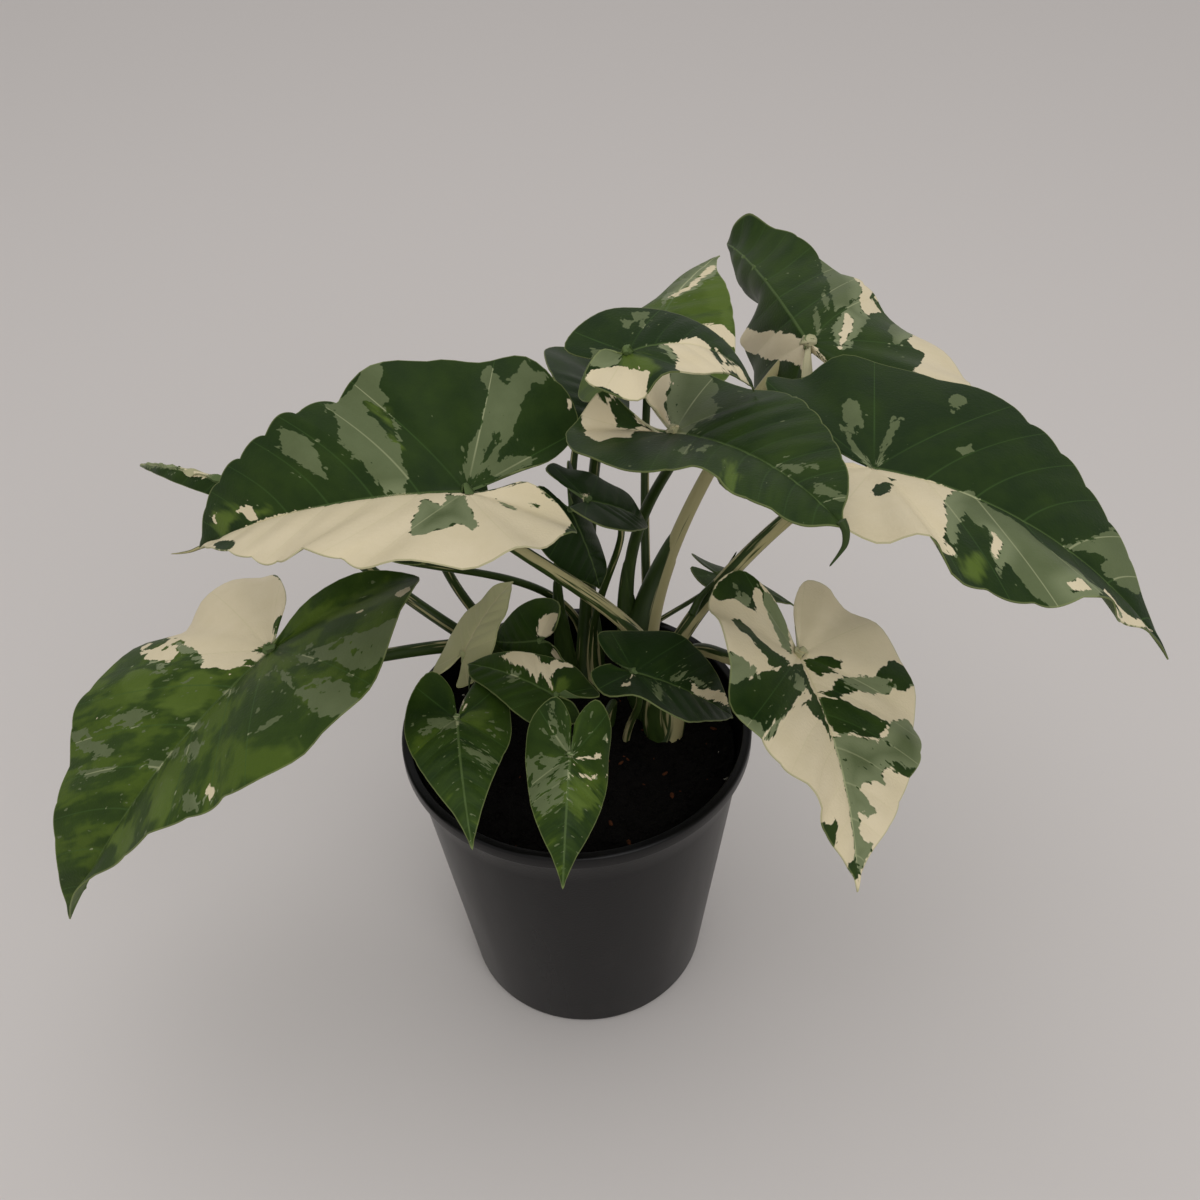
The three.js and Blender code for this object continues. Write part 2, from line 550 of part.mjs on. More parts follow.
// The space that a hole leaves round the foot of a stalk
function stalkClearance(leaf, reach) {
  const stalk = stalkOf(leaf, leafAxes(leaf));
  const distances = stalkRings(leaf, stalk);
  const count = distances.findIndex((distance) => distance > reach) + 1;
  const stations = distances.slice(0, count)
    .map((distance) => [distance, stalkRadiusAt(leaf, stalk, distance) + seat]);
  stations[0][0] -= seat;
  return barAlong(stalk, stations, divisions[sizeClass(leaf)].sides);
}

// The sheath wraps the foot of a stalk, thick at the soil and thin at its open end
function sheathSolid(leaf, grow) {
  const stalk = stalkOf(leaf, leafAxes(leaf));
  const stations = [];
  for (let step = 0; step <= 4; step += 1) {
    const distance = THREE.MathUtils.lerp(-12, sheathLength, step / 4);
    const swell = THREE.MathUtils.lerp(sheathSwell, sheathWall, Math.max(distance, 0) / sheathLength);
    stations.push([distance, stalkRadiusAt(leaf, stalk, distance) + swell + grow]);
  }
  return barAlong(stalk, stations, 7);
}

function crownPlug(crown, grow) {
  const [rx, ry] = crown.radii;
  const plug = turned([[0, crownFootZ - grow], [1, crownFootZ - grow], [1, crownTopZ - 7],
    [0.72, crownTopZ], [0, crownTopZ]], 14);
  plug.scale(rx + grow, ry + grow, 1);
  plug.translate(crown.centre[0], crown.centre[1], 0);
  return solidFromGeometry(plug);
}

function crownSolid(key) {
  const members = leafTable.filter((leaf) => leaf.crown === key);
  let crown = crownPlug(crownTable[key], 0);
  members.forEach((leaf) => {
    crown = crown.add(sheathSolid(leaf, 0));
  });
  leafTable.filter((leaf) => leaf.crown).forEach((leaf) => {
    crown = crown.subtract(stalkClearance(leaf, 95));
  });
  return largestPiece(crown);
}

// A thin moulded pot with a rolled rim, a flat foot and drain holes round its floor
function potSolid() {
  const neckZ = potHeight - rimHeight;
  const innerFoot = potFootRadius - potWall;
  const profile = [
    [0, 0], [potFootRadius - 4, 0], [potFootRadius - 1.2, 1.2], [potFootRadius, 4],
    [potNeckRadius, neckZ], [potRimRadius - 0.6, neckZ], [potRimRadius, neckZ + 0.7],
    [potRimRadius, potHeight - 0.8], [potRimRadius - 0.8, potHeight], [potRimRadius - 2.2, potHeight],
    [potRimRadius - 3, potHeight - 0.6], [potNeckRadius - potWall + 0.6, potHeight - 0.6],
    [potNeckRadius - potWall, potHeight - 1.4], [potNeckRadius - potWall, neckZ],
    [innerFoot, potFloor + 1.5], [innerFoot - 2, potFloor], [0, potFloor],
  ];
  let pot = solidFromGeometry(turned(profile, 48));
  for (let i = 0; i < drainHoles; i += 1) {
    const angle = (2 * Math.PI * i) / drainHoles;
    const hole = new THREE.CylinderGeometry(drainHoleRadius, drainHoleRadius, 4 * potFloor, 8);
    hole.rotateX(Math.PI / 2).translate(drainCircle * Math.cos(angle), drainCircle * Math.sin(angle), 0);
    pot = pot.subtract(solidFromGeometry(hole));
  }
  return pot;
}

// The soil fills the pot to just under its rim, in a low uneven mound with a hole for each stem
function soilSolid() {
  const wallSlope = (potNeckRadius - potFootRadius) / (potHeight - rimHeight - 4);
  const wallAt = (z) => potFootRadius - potWall - soilGap + wallSlope * (z - 4);
  const edge = wallAt(soilLevel) - 0.4;
  const profile = [[0, potFloor + soilGap], [wallAt(potFloor) - 3, potFloor + soilGap],
    [wallAt(8) - 0.4, 8], [edge, soilLevel - 2]];
  const rings = 6;
  for (let ring = 0; ring < rings; ring += 1) {
    const share = 1 - (ring + 0.5) / rings;
    profile.push([edge * share, soilLevel + soilMound * (1 - share * share)]);
  }
  profile.push([0, soilLevel + soilMound]);
  const geometry = turned(profile, 26);
  const position = geometry.getAttribute('position');
  for (let i = 0; i < position.count; i += 1) {
    const [x, y, z] = [position.getX(i), position.getY(i), position.getZ(i)];
    if (z >= soilLevel) {
      const ripple = Math.sin(x / 7.3 + 1) * Math.cos(y / 8.1) + 0.6 * Math.sin((x + y) / 4.7);
      position.setZ(i, z + soilRipple * ripple);
    }
  }
  let soil = solidFromGeometry(geometry);
  Object.values(crownTable).forEach((crown) => {
    soil = soil.subtract(crownPlug(crown, seat));
  });
  leafTable.forEach((leaf) => {
    const cutter = leaf.crown
      ? sheathSolid(leaf, seat)
      : stalkClearance(leaf, 20);
    soil = soil.subtract(cutter);
  });
  return largestPiece(soil);
}

const finishes = {
  pot: material('#1d1d1f', 0.42),
  soil: material('#3a2d22', 0.95),
  crown: material('#5f6a3c', 0.55),
  leaf: material('#4e7a45', 0.45),
  paleLeaf: material('#c9cdb4', 0.5),
};

const plant = new THREE.Group();
plant.add(meshOf('pot', potSolid(), finishes.pot));
plant.add(meshOf('soil', soilSolid(), finishes.soil));
Object.keys(crownTable).forEach((key) => {
  plant.add(meshOf(crownTable[key].name, crownSolid(key), finishes.crown.clone()));
});
leafTable.forEach((leaf) => {
  const finish = leaf.name === 'young_leaf_pale' ? finishes.paleLeaf : finishes.leaf.clone();
  plant.add(meshOf(leaf.name, leafSolid(leaf), finish));
});

export default plant;
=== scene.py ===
import math

import bpy
import numpy as np
from mathutils import Matrix, noise


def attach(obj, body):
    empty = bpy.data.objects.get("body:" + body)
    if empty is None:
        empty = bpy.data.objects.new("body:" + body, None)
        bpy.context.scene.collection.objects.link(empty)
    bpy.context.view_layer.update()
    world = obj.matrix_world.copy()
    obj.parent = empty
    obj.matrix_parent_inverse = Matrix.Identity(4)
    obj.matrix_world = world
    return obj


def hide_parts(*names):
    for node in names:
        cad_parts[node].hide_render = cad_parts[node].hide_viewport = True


# A silver-marked alocasia in a black nursery pot. Sizes are in millimetres, and become metres when placed.
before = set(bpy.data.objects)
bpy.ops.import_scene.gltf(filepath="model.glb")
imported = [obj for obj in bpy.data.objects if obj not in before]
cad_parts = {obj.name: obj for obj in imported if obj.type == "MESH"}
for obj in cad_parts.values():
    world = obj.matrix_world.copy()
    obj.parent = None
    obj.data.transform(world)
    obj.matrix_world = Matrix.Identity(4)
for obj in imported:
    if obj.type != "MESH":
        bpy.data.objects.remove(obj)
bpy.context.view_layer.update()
mm = 0.001
print('frame loaded')


# Tools for meshes
def deselectAll():
    if bpy.context.object and bpy.context.object.mode != 'OBJECT':
        bpy.ops.object.mode_set(mode='OBJECT')
    bpy.ops.object.select_all(action='DESELECT')


def selectOnly(*pieces):
    deselectAll()
    for piece in pieces:
        piece.select_set(True)
    bpy.context.view_layer.objects.active = pieces[0]


def joinPieces(name, pieces):
    selectOnly(*pieces)
    if len(pieces) > 1:
        bpy.ops.object.join()
    joined = bpy.context.object
    joined.name = name
    joined.data.name = name
    return joined


def applyModifier(piece, kind, **settings):
    selectOnly(piece)
    modifier = piece.modifiers.new(kind.title(), kind)
    for setting, value in settings.items():
        setattr(modifier, setting, value)
    bpy.ops.object.modifier_apply(modifier=modifier.name)


def editMesh(piece, *steps):
    selectOnly(piece)
    bpy.ops.object.mode_set(mode='EDIT')
    bpy.ops.mesh.select_all(action='SELECT')
    for step, settings in steps:
        getattr(bpy.ops.mesh, step)(**settings)
    bpy.ops.object.mode_set(mode='OBJECT')


def storeValues(piece, values):
    for name, value in values.items():
        layer = piece.data.attributes.new(name, 'FLOAT', 'POINT')
        layer.data.foreach_set('value', np.asarray(value, np.float32).ravel())


# A flat grid of rows and columns is added, then each vertex goes to its place on a curved surface.
# places is rows x columns x 3 in millimetres, and its faces look out where columns x rows points out.
def shapeGrid(name, places, uvs, values):
    rows, columns = places.shape[:2]
    deselectAll()
    bpy.ops.mesh.primitive_grid_add(x_subdivisions=columns - 1, y_subdivisions=rows - 1, size=2)
    piece = bpy.context.object
    piece.name = name
    flat = np.zeros(len(piece.data.vertices) * 3)
    piece.data.vertices.foreach_get('co', flat)
    flat = flat.reshape(-1, 3)
    column = np.rint((flat[:, 0] + 1) / 2 * (columns - 1)).astype(int)
    row = np.rint((flat[:, 1] + 1) / 2 * (rows - 1)).astype(int)
    piece.data.vertices.foreach_set('co', (places[row, column] * mm).ravel())
    corners = np.zeros(len(piece.data.loops), int)
    piece.data.loops.foreach_get('vertex_index', corners)
    map2d = piece.data.uv_layers[0]
    map2d.data.foreach_set('uv', (uvs[row, column] * mm)[corners].ravel())
    storeValues(piece, {key: value[row, column] for key, value in values.items()})
    editMesh(piece, ('remove_doubles', dict(threshold=0.004 * mm)),
             ('dissolve_degenerate', dict(threshold=0.003 * mm)))
    return piece


# Tools for materials
def linear(hexColour):
    parts = [int(hexColour[i:i + 2], 16) / 255 for i in (1, 3, 5)]
    return [c / 12.92 if c <= 0.04045 else ((c + 0.055) / 1.055) ** 2.4 for c in parts] + [1]


def linearAll(hexColours):
    return {key: linear(hexColour) for key, hexColour in hexColours.items()}


def addNode(material, kind, inputs, **settings):
    tree = material.node_tree
    node = tree.nodes.new(kind)
    for setting, value in settings.items():
        setattr(node, setting, value)
    for socket, value in inputs.items():
        if isinstance(value, bpy.types.NodeSocket):
            tree.links.new(value, node.inputs[socket])
        else:
            node.inputs[socket].default_value = value
    return node


def newMaterial(name):
    material = bpy.data.materials.new(name)
    material.use_nodes = True
    material.node_tree.nodes.clear()
    return material


def finishMaterial(material, inputs):
    shader = addNode(material, 'ShaderNodeBsdfPrincipled', inputs)
    addNode(material, 'ShaderNodeOutputMaterial', {'Surface': shader.outputs[0]})
    return material


def vertexFields(material, names):
    return {name: addNode(material, 'ShaderNodeAttribute', {}, attribute_name=name).outputs['Fac']
            for name in names}


# Colours laid over a base one after another, each as far as its own mask lets it
def layColours(material, colour, *layers):
    for mask, tint in layers:
        colour = addNode(material, 'ShaderNodeMix', {
            0: mask, 6: colour, 7: tint}, data_type='RGBA').outputs[2]
    return colour


# Noise that is drawn out one way: grain is in waves a metre along each axis, start sets one noise off another
def drawnNoise(material, vector, grain, detail, roughness=0.5, start=0):
    spread = addNode(material, 'ShaderNodeMapping', {
        'Vector': vector, 'Location': (start, 0, 0), 'Scale': grain}).outputs[0]
    return addNode(material, 'ShaderNodeTexNoise', {
        'Vector': spread, 'Scale': 1, 'Detail': detail, 'Roughness': roughness}).outputs['Fac']


# Leaf: the finish. A grown alocasia leaf: a satin skin over green tissue, with sectors that hold
# less green. The eye sees soft sheen, ragged sector edges drawn out along the side veins, and a pale rib.
leafColours = linearAll(dict(
    deepGreen='#1d3010', midGreen='#384d17', freshGreen='#546820', lime='#566a28', silver='#6b7653',
    silverShade='#535f3c', silverLight='#78825f', cream='#e2d5b6', creamShade='#d2c5a0', creamGreen='#bdbb8e',
    veinGreen='#3f5a2a', veinPale='#b3b78e', ribGreen='#55693a', ribCream='#d3c9a2', edgePale='#8d9660',
    under='#6b7c50',
))

# Grain is in waves a metre, first across the side veins and then along them; other sizes are in millimetres.
# A sector's edge wanders by its reach, is moved out by grow and fades over soft.
# A fleck shows where its noise passes its limit, and mottle makes flecks more common by its gain.
leafFinish = dict(
    jagGrain=(420, 120, 1), streakGrain=(110, 26, 1), fleckGrain=(430, 150, 1), cloudGrain=45, cellGrain=700,
    fieldLimit=9, creamHalo=3,
    lime=dict(reach=8, grow=0, soft=2.5),
    silver=dict(reach=2.6, grow=0.4, soft=0.25),
    cream=dict(reach=2.0, grow=0.2, soft=0.25),
    silverFlecks=dict(limit=0.7, gain=0.08, start=6),
    darkIslands=dict(limit=0.82, gain=0.2, start=29),
    creamFlecks=dict(limit=0.77, gain=0.06, start=13),
    veinWidths=(0.85, 0.3), veinSpacings=(8, 24), veinShares=(0.15, 0.55),
    ribWidths=(0.5, 1.5), ribShare=0.75, edgeWidths=(0.2, 0.6), edgeShare=0.45, underShare=0.45,
    relief=0.6, reliefShare=0.35, refraction=1.42, sheen=0.15, roughnessSwing=0.06,
)


# A sector's mask: its field in millimetres, made ragged by noise
def sectorMask(material, field, jag, reach, grow, soft):
    shift = addNode(material, 'ShaderNodeMapRange', {
        'Value': jag, 'From Min': 0.2, 'From Max': 0.8,
        'To Min': grow - reach, 'To Max': grow + reach}).outputs[0]
    ragged = addNode(material, 'ShaderNodeMath', {0: field, 1: shift}, operation='ADD').outputs[0]
    return addNode(material, 'ShaderNodeMapRange', {
        'Value': ragged, 'From Min': -soft, 'From Max': soft}, interpolation_type='SMOOTHSTEP').outputs[0]


# Small flecks of the same colour lie scattered round a sector, thinner further out
def fleckMask(material, along, field, mottle, limit, gain, start):
    fleck = drawnNoise(material, along, leafFinish['fleckGrain'], 2, start=start)
    far = addNode(material, 'ShaderNodeMapRange', {
        'Value': field, 'From Min': -leafFinish['fieldLimit'], 'From Max': 0,
        'To Min': -0.06, 'To Max': 0.04}).outputs[0]
    near = addNode(material, 'ShaderNodeMath', {0: fleck, 1: far}, operation='ADD').outputs[0]
    near = addNode(material, 'ShaderNodeMath', {
        0: mottle, 1: gain, 2: near}, operation='MULTIPLY_ADD').outputs[0]
    return addNode(material, 'ShaderNodeMapRange', {
        'Value': near, 'From Min': limit, 'From Max': limit + 0.02}).outputs[0]


def leafFace(name, underShare, roughness):
    material = newMaterial(name)
    finish, colours = leafFinish, leafColours
    fields = vertexFields(material, (
        'limeField', 'silverField', 'creamField', 'toneAndShade', 'mottle', 'veinIndex', 'veinSpacing', 'outShare',
        'ribDistance', 'ribTaper', 'edgeDistance'))
    toneAndShade, mottle, spacing = fields['toneAndShade'], fields['mottle'], fields['veinSpacing']
    along = addNode(material, 'ShaderNodeUVMap', {}, uv_map='UVMap').outputs[0]
    place = addNode(material, 'ShaderNodeTexCoord', {}).outputs['Object']
    jag = drawnNoise(material, along, finish['jagGrain'], 3, 0.6)
    streak = drawnNoise(material, along, finish['streakGrain'], 3, 0.55)
    cloud = addNode(material, 'ShaderNodeTexNoise', {
        'Vector': place, 'Scale': finish['cloudGrain'], 'Detail': 3, 'Roughness': 0.6}).outputs['Fac']

    # Ground green, mottled in streaks between the veins, and lighter or darker by each leaf's tone, which is
    # partly the leaf's own green and partly painted shade that darkens the leaves deep in the clump
    streaky = addNode(material, 'ShaderNodeMapRange', {
        'Value': streak, 'From Min': 0.36, 'From Max': 0.68, 'To Min': -0.2, 'To Max': 0.65}).outputs[0]
    streaky = addNode(material, 'ShaderNodeMath', {0: streaky, 1: mottle}, operation='MULTIPLY').outputs[0]
    cloudy = addNode(material, 'ShaderNodeMapRange', {
        'Value': cloud, 'From Min': 0.3, 'From Max': 0.7, 'To Min': 0.1, 'To Max': 0.5}).outputs[0]
    level = addNode(material, 'ShaderNodeMath', {0: streaky, 1: toneAndShade}, operation='ADD').outputs[0]
    level = addNode(material, 'ShaderNodeMath', {
        0: level, 1: cloudy}, operation='ADD', use_clamp=True).outputs[0]
    fresh = addNode(material, 'ShaderNodeMapRange', {
        'Value': level, 'From Min': 0.75, 'From Max': 1.1, 'To Max': 0.8}).outputs[0]
    green = layColours(material, colours['deepGreen'], (level, colours['midGreen']),
                       (fresh, colours['freshGreen']))

    # Sectors of lime, silver and cream; silver is paler beside the cream
    limeMask = sectorMask(material, fields['limeField'], streak, **finish['lime'])
    lime = layColours(material, colours['lime'], (streaky, green))
    silverMask = sectorMask(material, fields['silverField'], jag, **finish['silver'])
    flecks, islands = [fleckMask(material, along, fields['silverField'], mottle, **finish[key])
                       for key in ('silverFlecks', 'darkIslands')]
    silverMask = addNode(material, 'ShaderNodeMath', {
        0: silverMask, 1: flecks}, operation='MAXIMUM').outputs[0]
    silverMask = addNode(material, 'ShaderNodeMath', {
        0: silverMask, 1: islands}, operation='SUBTRACT', use_clamp=True).outputs[0]
    beside = addNode(material, 'ShaderNodeMapRange', {
        'Value': fields['creamField'], 'From Min': -finish['fieldLimit'],
        'From Max': -finish['creamHalo']}).outputs[0]
    silver = layColours(material, colours['silverShade'], (cloud, colours['silver']),
                        (beside, colours['silverLight']))
    creamMask = sectorMask(material, fields['creamField'], jag, **finish['cream'])
    flecks = fleckMask(material, along, fields['creamField'], mottle, **finish['creamFlecks'])
    creamMask = addNode(material, 'ShaderNodeMath', {0: creamMask, 1: flecks}, operation='MAXIMUM').outputs[0]
    greenish = addNode(material, 'ShaderNodeMapRange', {
        'Value': toneAndShade, 'From Min': 1, 'From Max': 1.5}).outputs[0]
    cream = layColours(material, colours['cream'], (cloudy, colours['creamShade']),
                       (greenish, colours['creamGreen']))

    # Side veins, finer towards the edge, then the rib and the thin pale edge
    nearest = addNode(material, 'ShaderNodeMath', {
        0: fields['veinIndex'], 1: 0.5}, operation='PINGPONG').outputs[0]
    veinDistance = addNode(material, 'ShaderNodeMath', {
        0: nearest, 1: spacing}, operation='MULTIPLY').outputs[0]
    veinWidth = addNode(material, 'ShaderNodeMapRange', {
        'Value': fields['outShare'], 'To Min': finish['veinWidths'][0],
        'To Max': finish['veinWidths'][1]}).outputs[0]
    veinShare = addNode(material, 'ShaderNodeMapRange', {
        'Value': spacing, 'From Min': finish['veinSpacings'][0], 'From Max': finish['veinSpacings'][1],
        'To Min': finish['veinShares'][0], 'To Max': finish['veinShares'][1]}).outputs[0]
    veinMask = addNode(material, 'ShaderNodeMapRange', {
        'Value': veinDistance, 'From Min': 0.1, 'From Max': veinWidth, 'To Min': veinShare, 'To Max': 0},
        interpolation_type='SMOOTHSTEP').outputs[0]
    overPale = [(silverMask, colours['veinPale']), (creamMask, colours['ribCream'])]
    veinTint, ribTint = [layColours(material, colours[key], *overPale) for key in ('veinGreen', 'ribGreen')]
    ribWidth = addNode(material, 'ShaderNodeMapRange', {
        'Value': fields['ribTaper'], 'To Min': finish['ribWidths'][0],
        'To Max': finish['ribWidths'][1]}).outputs[0]
    ribMask = addNode(material, 'ShaderNodeMapRange', {
        'Value': fields['ribDistance'], 'From Min': 0.2, 'From Max': ribWidth,
        'To Min': finish['ribShare'], 'To Max': 0}, interpolation_type='SMOOTHSTEP').outputs[0]
    edgeMask = addNode(material, 'ShaderNodeMapRange', {
        'Value': fields['edgeDistance'], 'From Min': finish['edgeWidths'][0],
        'From Max': finish['edgeWidths'][1], 'To Min': finish['edgeShare'], 'To Max': 0}).outputs[0]
    colour = layColours(
        material, green, (limeMask, lime), (silverMask, silver), (creamMask, cream), (veinMask, veinTint),
        (ribMask, ribTint), (edgeMask, colours['edgePale']), (underShare, colours['under']))

    cells = addNode(material, 'ShaderNodeTexNoise', {
        'Vector': place, 'Scale': finish['cellGrain'], 'Detail': 2}).outputs['Fac']
    swell = addNode(material, 'ShaderNodeMath', {0: cells, 1: streak}, operation='ADD').outputs[0]
    bump = addNode(material, 'ShaderNodeBump', {
        'Strength': finish['reliefShare'], 'Distance': finish['relief'] * mm, 'Height': swell}).outputs[0]
    gloss = addNode(material, 'ShaderNodeMapRange', {
        'Value': cloud, 'From Min': 0.3, 'From Max': 0.7, 'To Min': roughness - finish['roughnessSwing'],
        'To Max': roughness + finish['roughnessSwing']}).outputs[0]
    return finishMaterial(material, {
        'Base Color': colour, 'Roughness': gloss, 'Normal': bump, 'IOR': finish['refraction'],
        'Specular IOR Level': finish['sheen']})


upperFace = leafFace('leafUpperCuticle', 0, 0.46)
underFace = leafFace('leafUnderside', leafFinish['underShare'], 0.55)

# Stalk: a fleshy alocasia petiole, smooth and slightly waxy, streaked lengthwise in green and cream
stalkFinish = dict(
    colours=linearAll(dict(deep='#1c2c10', green='#3d4f20', cream='#aaa276')),
    streakGrain=(260, 9, 1), fleckGrain=(520, 60, 1), creamLimits=(0.72, 0.28), soft=0.02,
    relief=0.6, reliefShare=0.3, roughness=0.45, refraction=1.42, sheen=0.3,
)


def stalkMaterial():
    material = newMaterial('petioleSkin')
    finish, colours = stalkFinish, stalkFinish['colours']
    along = addNode(material, 'ShaderNodeUVMap', {}, uv_map='UVMap').outputs[0]
    cream = vertexFields(material, ('stalkCream',))['stalkCream']
    streak = drawnNoise(material, along, finish['streakGrain'], 3, 0.6)
    fleck = drawnNoise(material, along, finish['fleckGrain'], 3)
    limit = addNode(material, 'ShaderNodeMapRange', {
        'Value': cream, 'To Min': finish['creamLimits'][0], 'To Max': finish['creamLimits'][1]}).outputs[0]
    above = addNode(material, 'ShaderNodeMath', {0: streak, 1: limit}, operation='SUBTRACT').outputs[0]
    mask = addNode(material, 'ShaderNodeMapRange', {
        'Value': above, 'From Min': -finish['soft'], 'From Max': finish['soft']}).outputs[0]
    colour = layColours(material, colours['deep'], (fleck, colours['green']), (mask, colours['cream']))
    bump = addNode(material, 'ShaderNodeBump', {
        'Strength': finish['reliefShare'], 'Distance': finish['relief'] * mm, 'Height': streak}).outputs[0]
    return finishMaterial(material, {
        'Base Color': colour, 'Roughness': finish['roughness'], 'Normal': bump, 'IOR': finish['refraction'],
        'Specular IOR Level': finish['sheen']})


stalkSkin = stalkMaterial()

# Pot: injection-moulded black polypropylene, satin, with faint flow marks and dusty scuffs
potFinish = dict(
    colours=linearAll(dict(black='#070708', grey='#0e0d0e', dust='#3a3633')),
    flowGrain=(30, 30, 4), mouldGrain=900, dustGrain=38, dustShare=0.14,
    relief=0.3, reliefShare=0.2, refraction=1.49, sheen=0.22,
)


def potMaterial():
    material = newMaterial('mouldedPolypropylene')
    finish, colours = potFinish, potFinish['colours']
    place = addNode(material, 'ShaderNodeTexCoord', {}).outputs['Object']
    streak = drawnNoise(material, place, finish['flowGrain'], 4)
    grain = addNode(material, 'ShaderNodeTexNoise', {
        'Vector': place, 'Scale': finish['mouldGrain'], 'Detail': 2}).outputs['Fac']
    dust = addNode(material, 'ShaderNodeTexNoise', {
        'Vector': place, 'Scale': finish['dustGrain'], 'Detail': 6, 'Roughness': 0.7}).outputs['Fac']
    dusty = addNode(material, 'ShaderNodeMapRange', {
        'Value': dust, 'From Min': 0.55, 'From Max': 0.8, 'To Max': finish['dustShare']}).outputs[0]
    colour = layColours(material, colours['black'], (streak, colours['grey']), (dusty, colours['dust']))
    gloss = addNode(material, 'ShaderNodeMapRange', {
        'Value': streak, 'From Min': 0.3, 'From Max': 0.7, 'To Min': 0.26, 'To Max': 0.36}).outputs[0]
    bump = addNode(material, 'ShaderNodeBump', {
        'Strength': finish['reliefShare'], 'Distance': finish['relief'] * mm, 'Height': grain}).outputs[0]
    return finishMaterial(material, {
        'Base Color': colour, 'Roughness': gloss, 'Normal': bump, 'IOR': finish['refraction'],
        'Specular IOR Level': finish['sheen']})


# Soil: a peat and bark potting mix, damp and dark, with a few brown bark chips and white perlite grains
soilFinish = dict(
    colours=linearAll(dict(
        peat='#030202', peatPale='#0f0b08', bark='#24150d', barkPale='#6a3c22', perlite='#aaa59a')),
    crumbGrain=380, relief=1.5, reliefShare=0.9, roughness=0.92, sheen=0.15,
)


def soilMaterial():
    material = newMaterial('peatAndBarkMix')
    finish, colours = soilFinish, soilFinish['colours']
    place = addNode(material, 'ShaderNodeTexCoord', {}).outputs['Object']
    kind = vertexFields(material, ('crumbKind',))['crumbKind']
    crumb = addNode(material, 'ShaderNodeTexNoise', {
        'Vector': place, 'Scale': finish['crumbGrain'], 'Detail': 5, 'Roughness': 0.7}).outputs['Fac']
    isBark, isPerlite = [
        addNode(material, 'ShaderNodeMath', {0: kind, 1: limit}, operation='GREATER_THAN').outputs[0]
        for limit in (0.5, 1.5)]
    bark = layColours(material, colours['bark'], (crumb, colours['barkPale']))
    colour = layColours(material, colours['peat'], (crumb, colours['peatPale']), (isBark, bark),
                        (isPerlite, colours['perlite']))
    bump = addNode(material, 'ShaderNodeBump', {
        'Strength': finish['reliefShare'], 'Distance': finish['relief'] * mm, 'Height': crumb}).outputs[0]
    return finishMaterial(material, {
        'Base Color': colour, 'Roughness': finish['roughness'], 'Normal': bump,
        'Specular IOR Level': finish['sheen']})


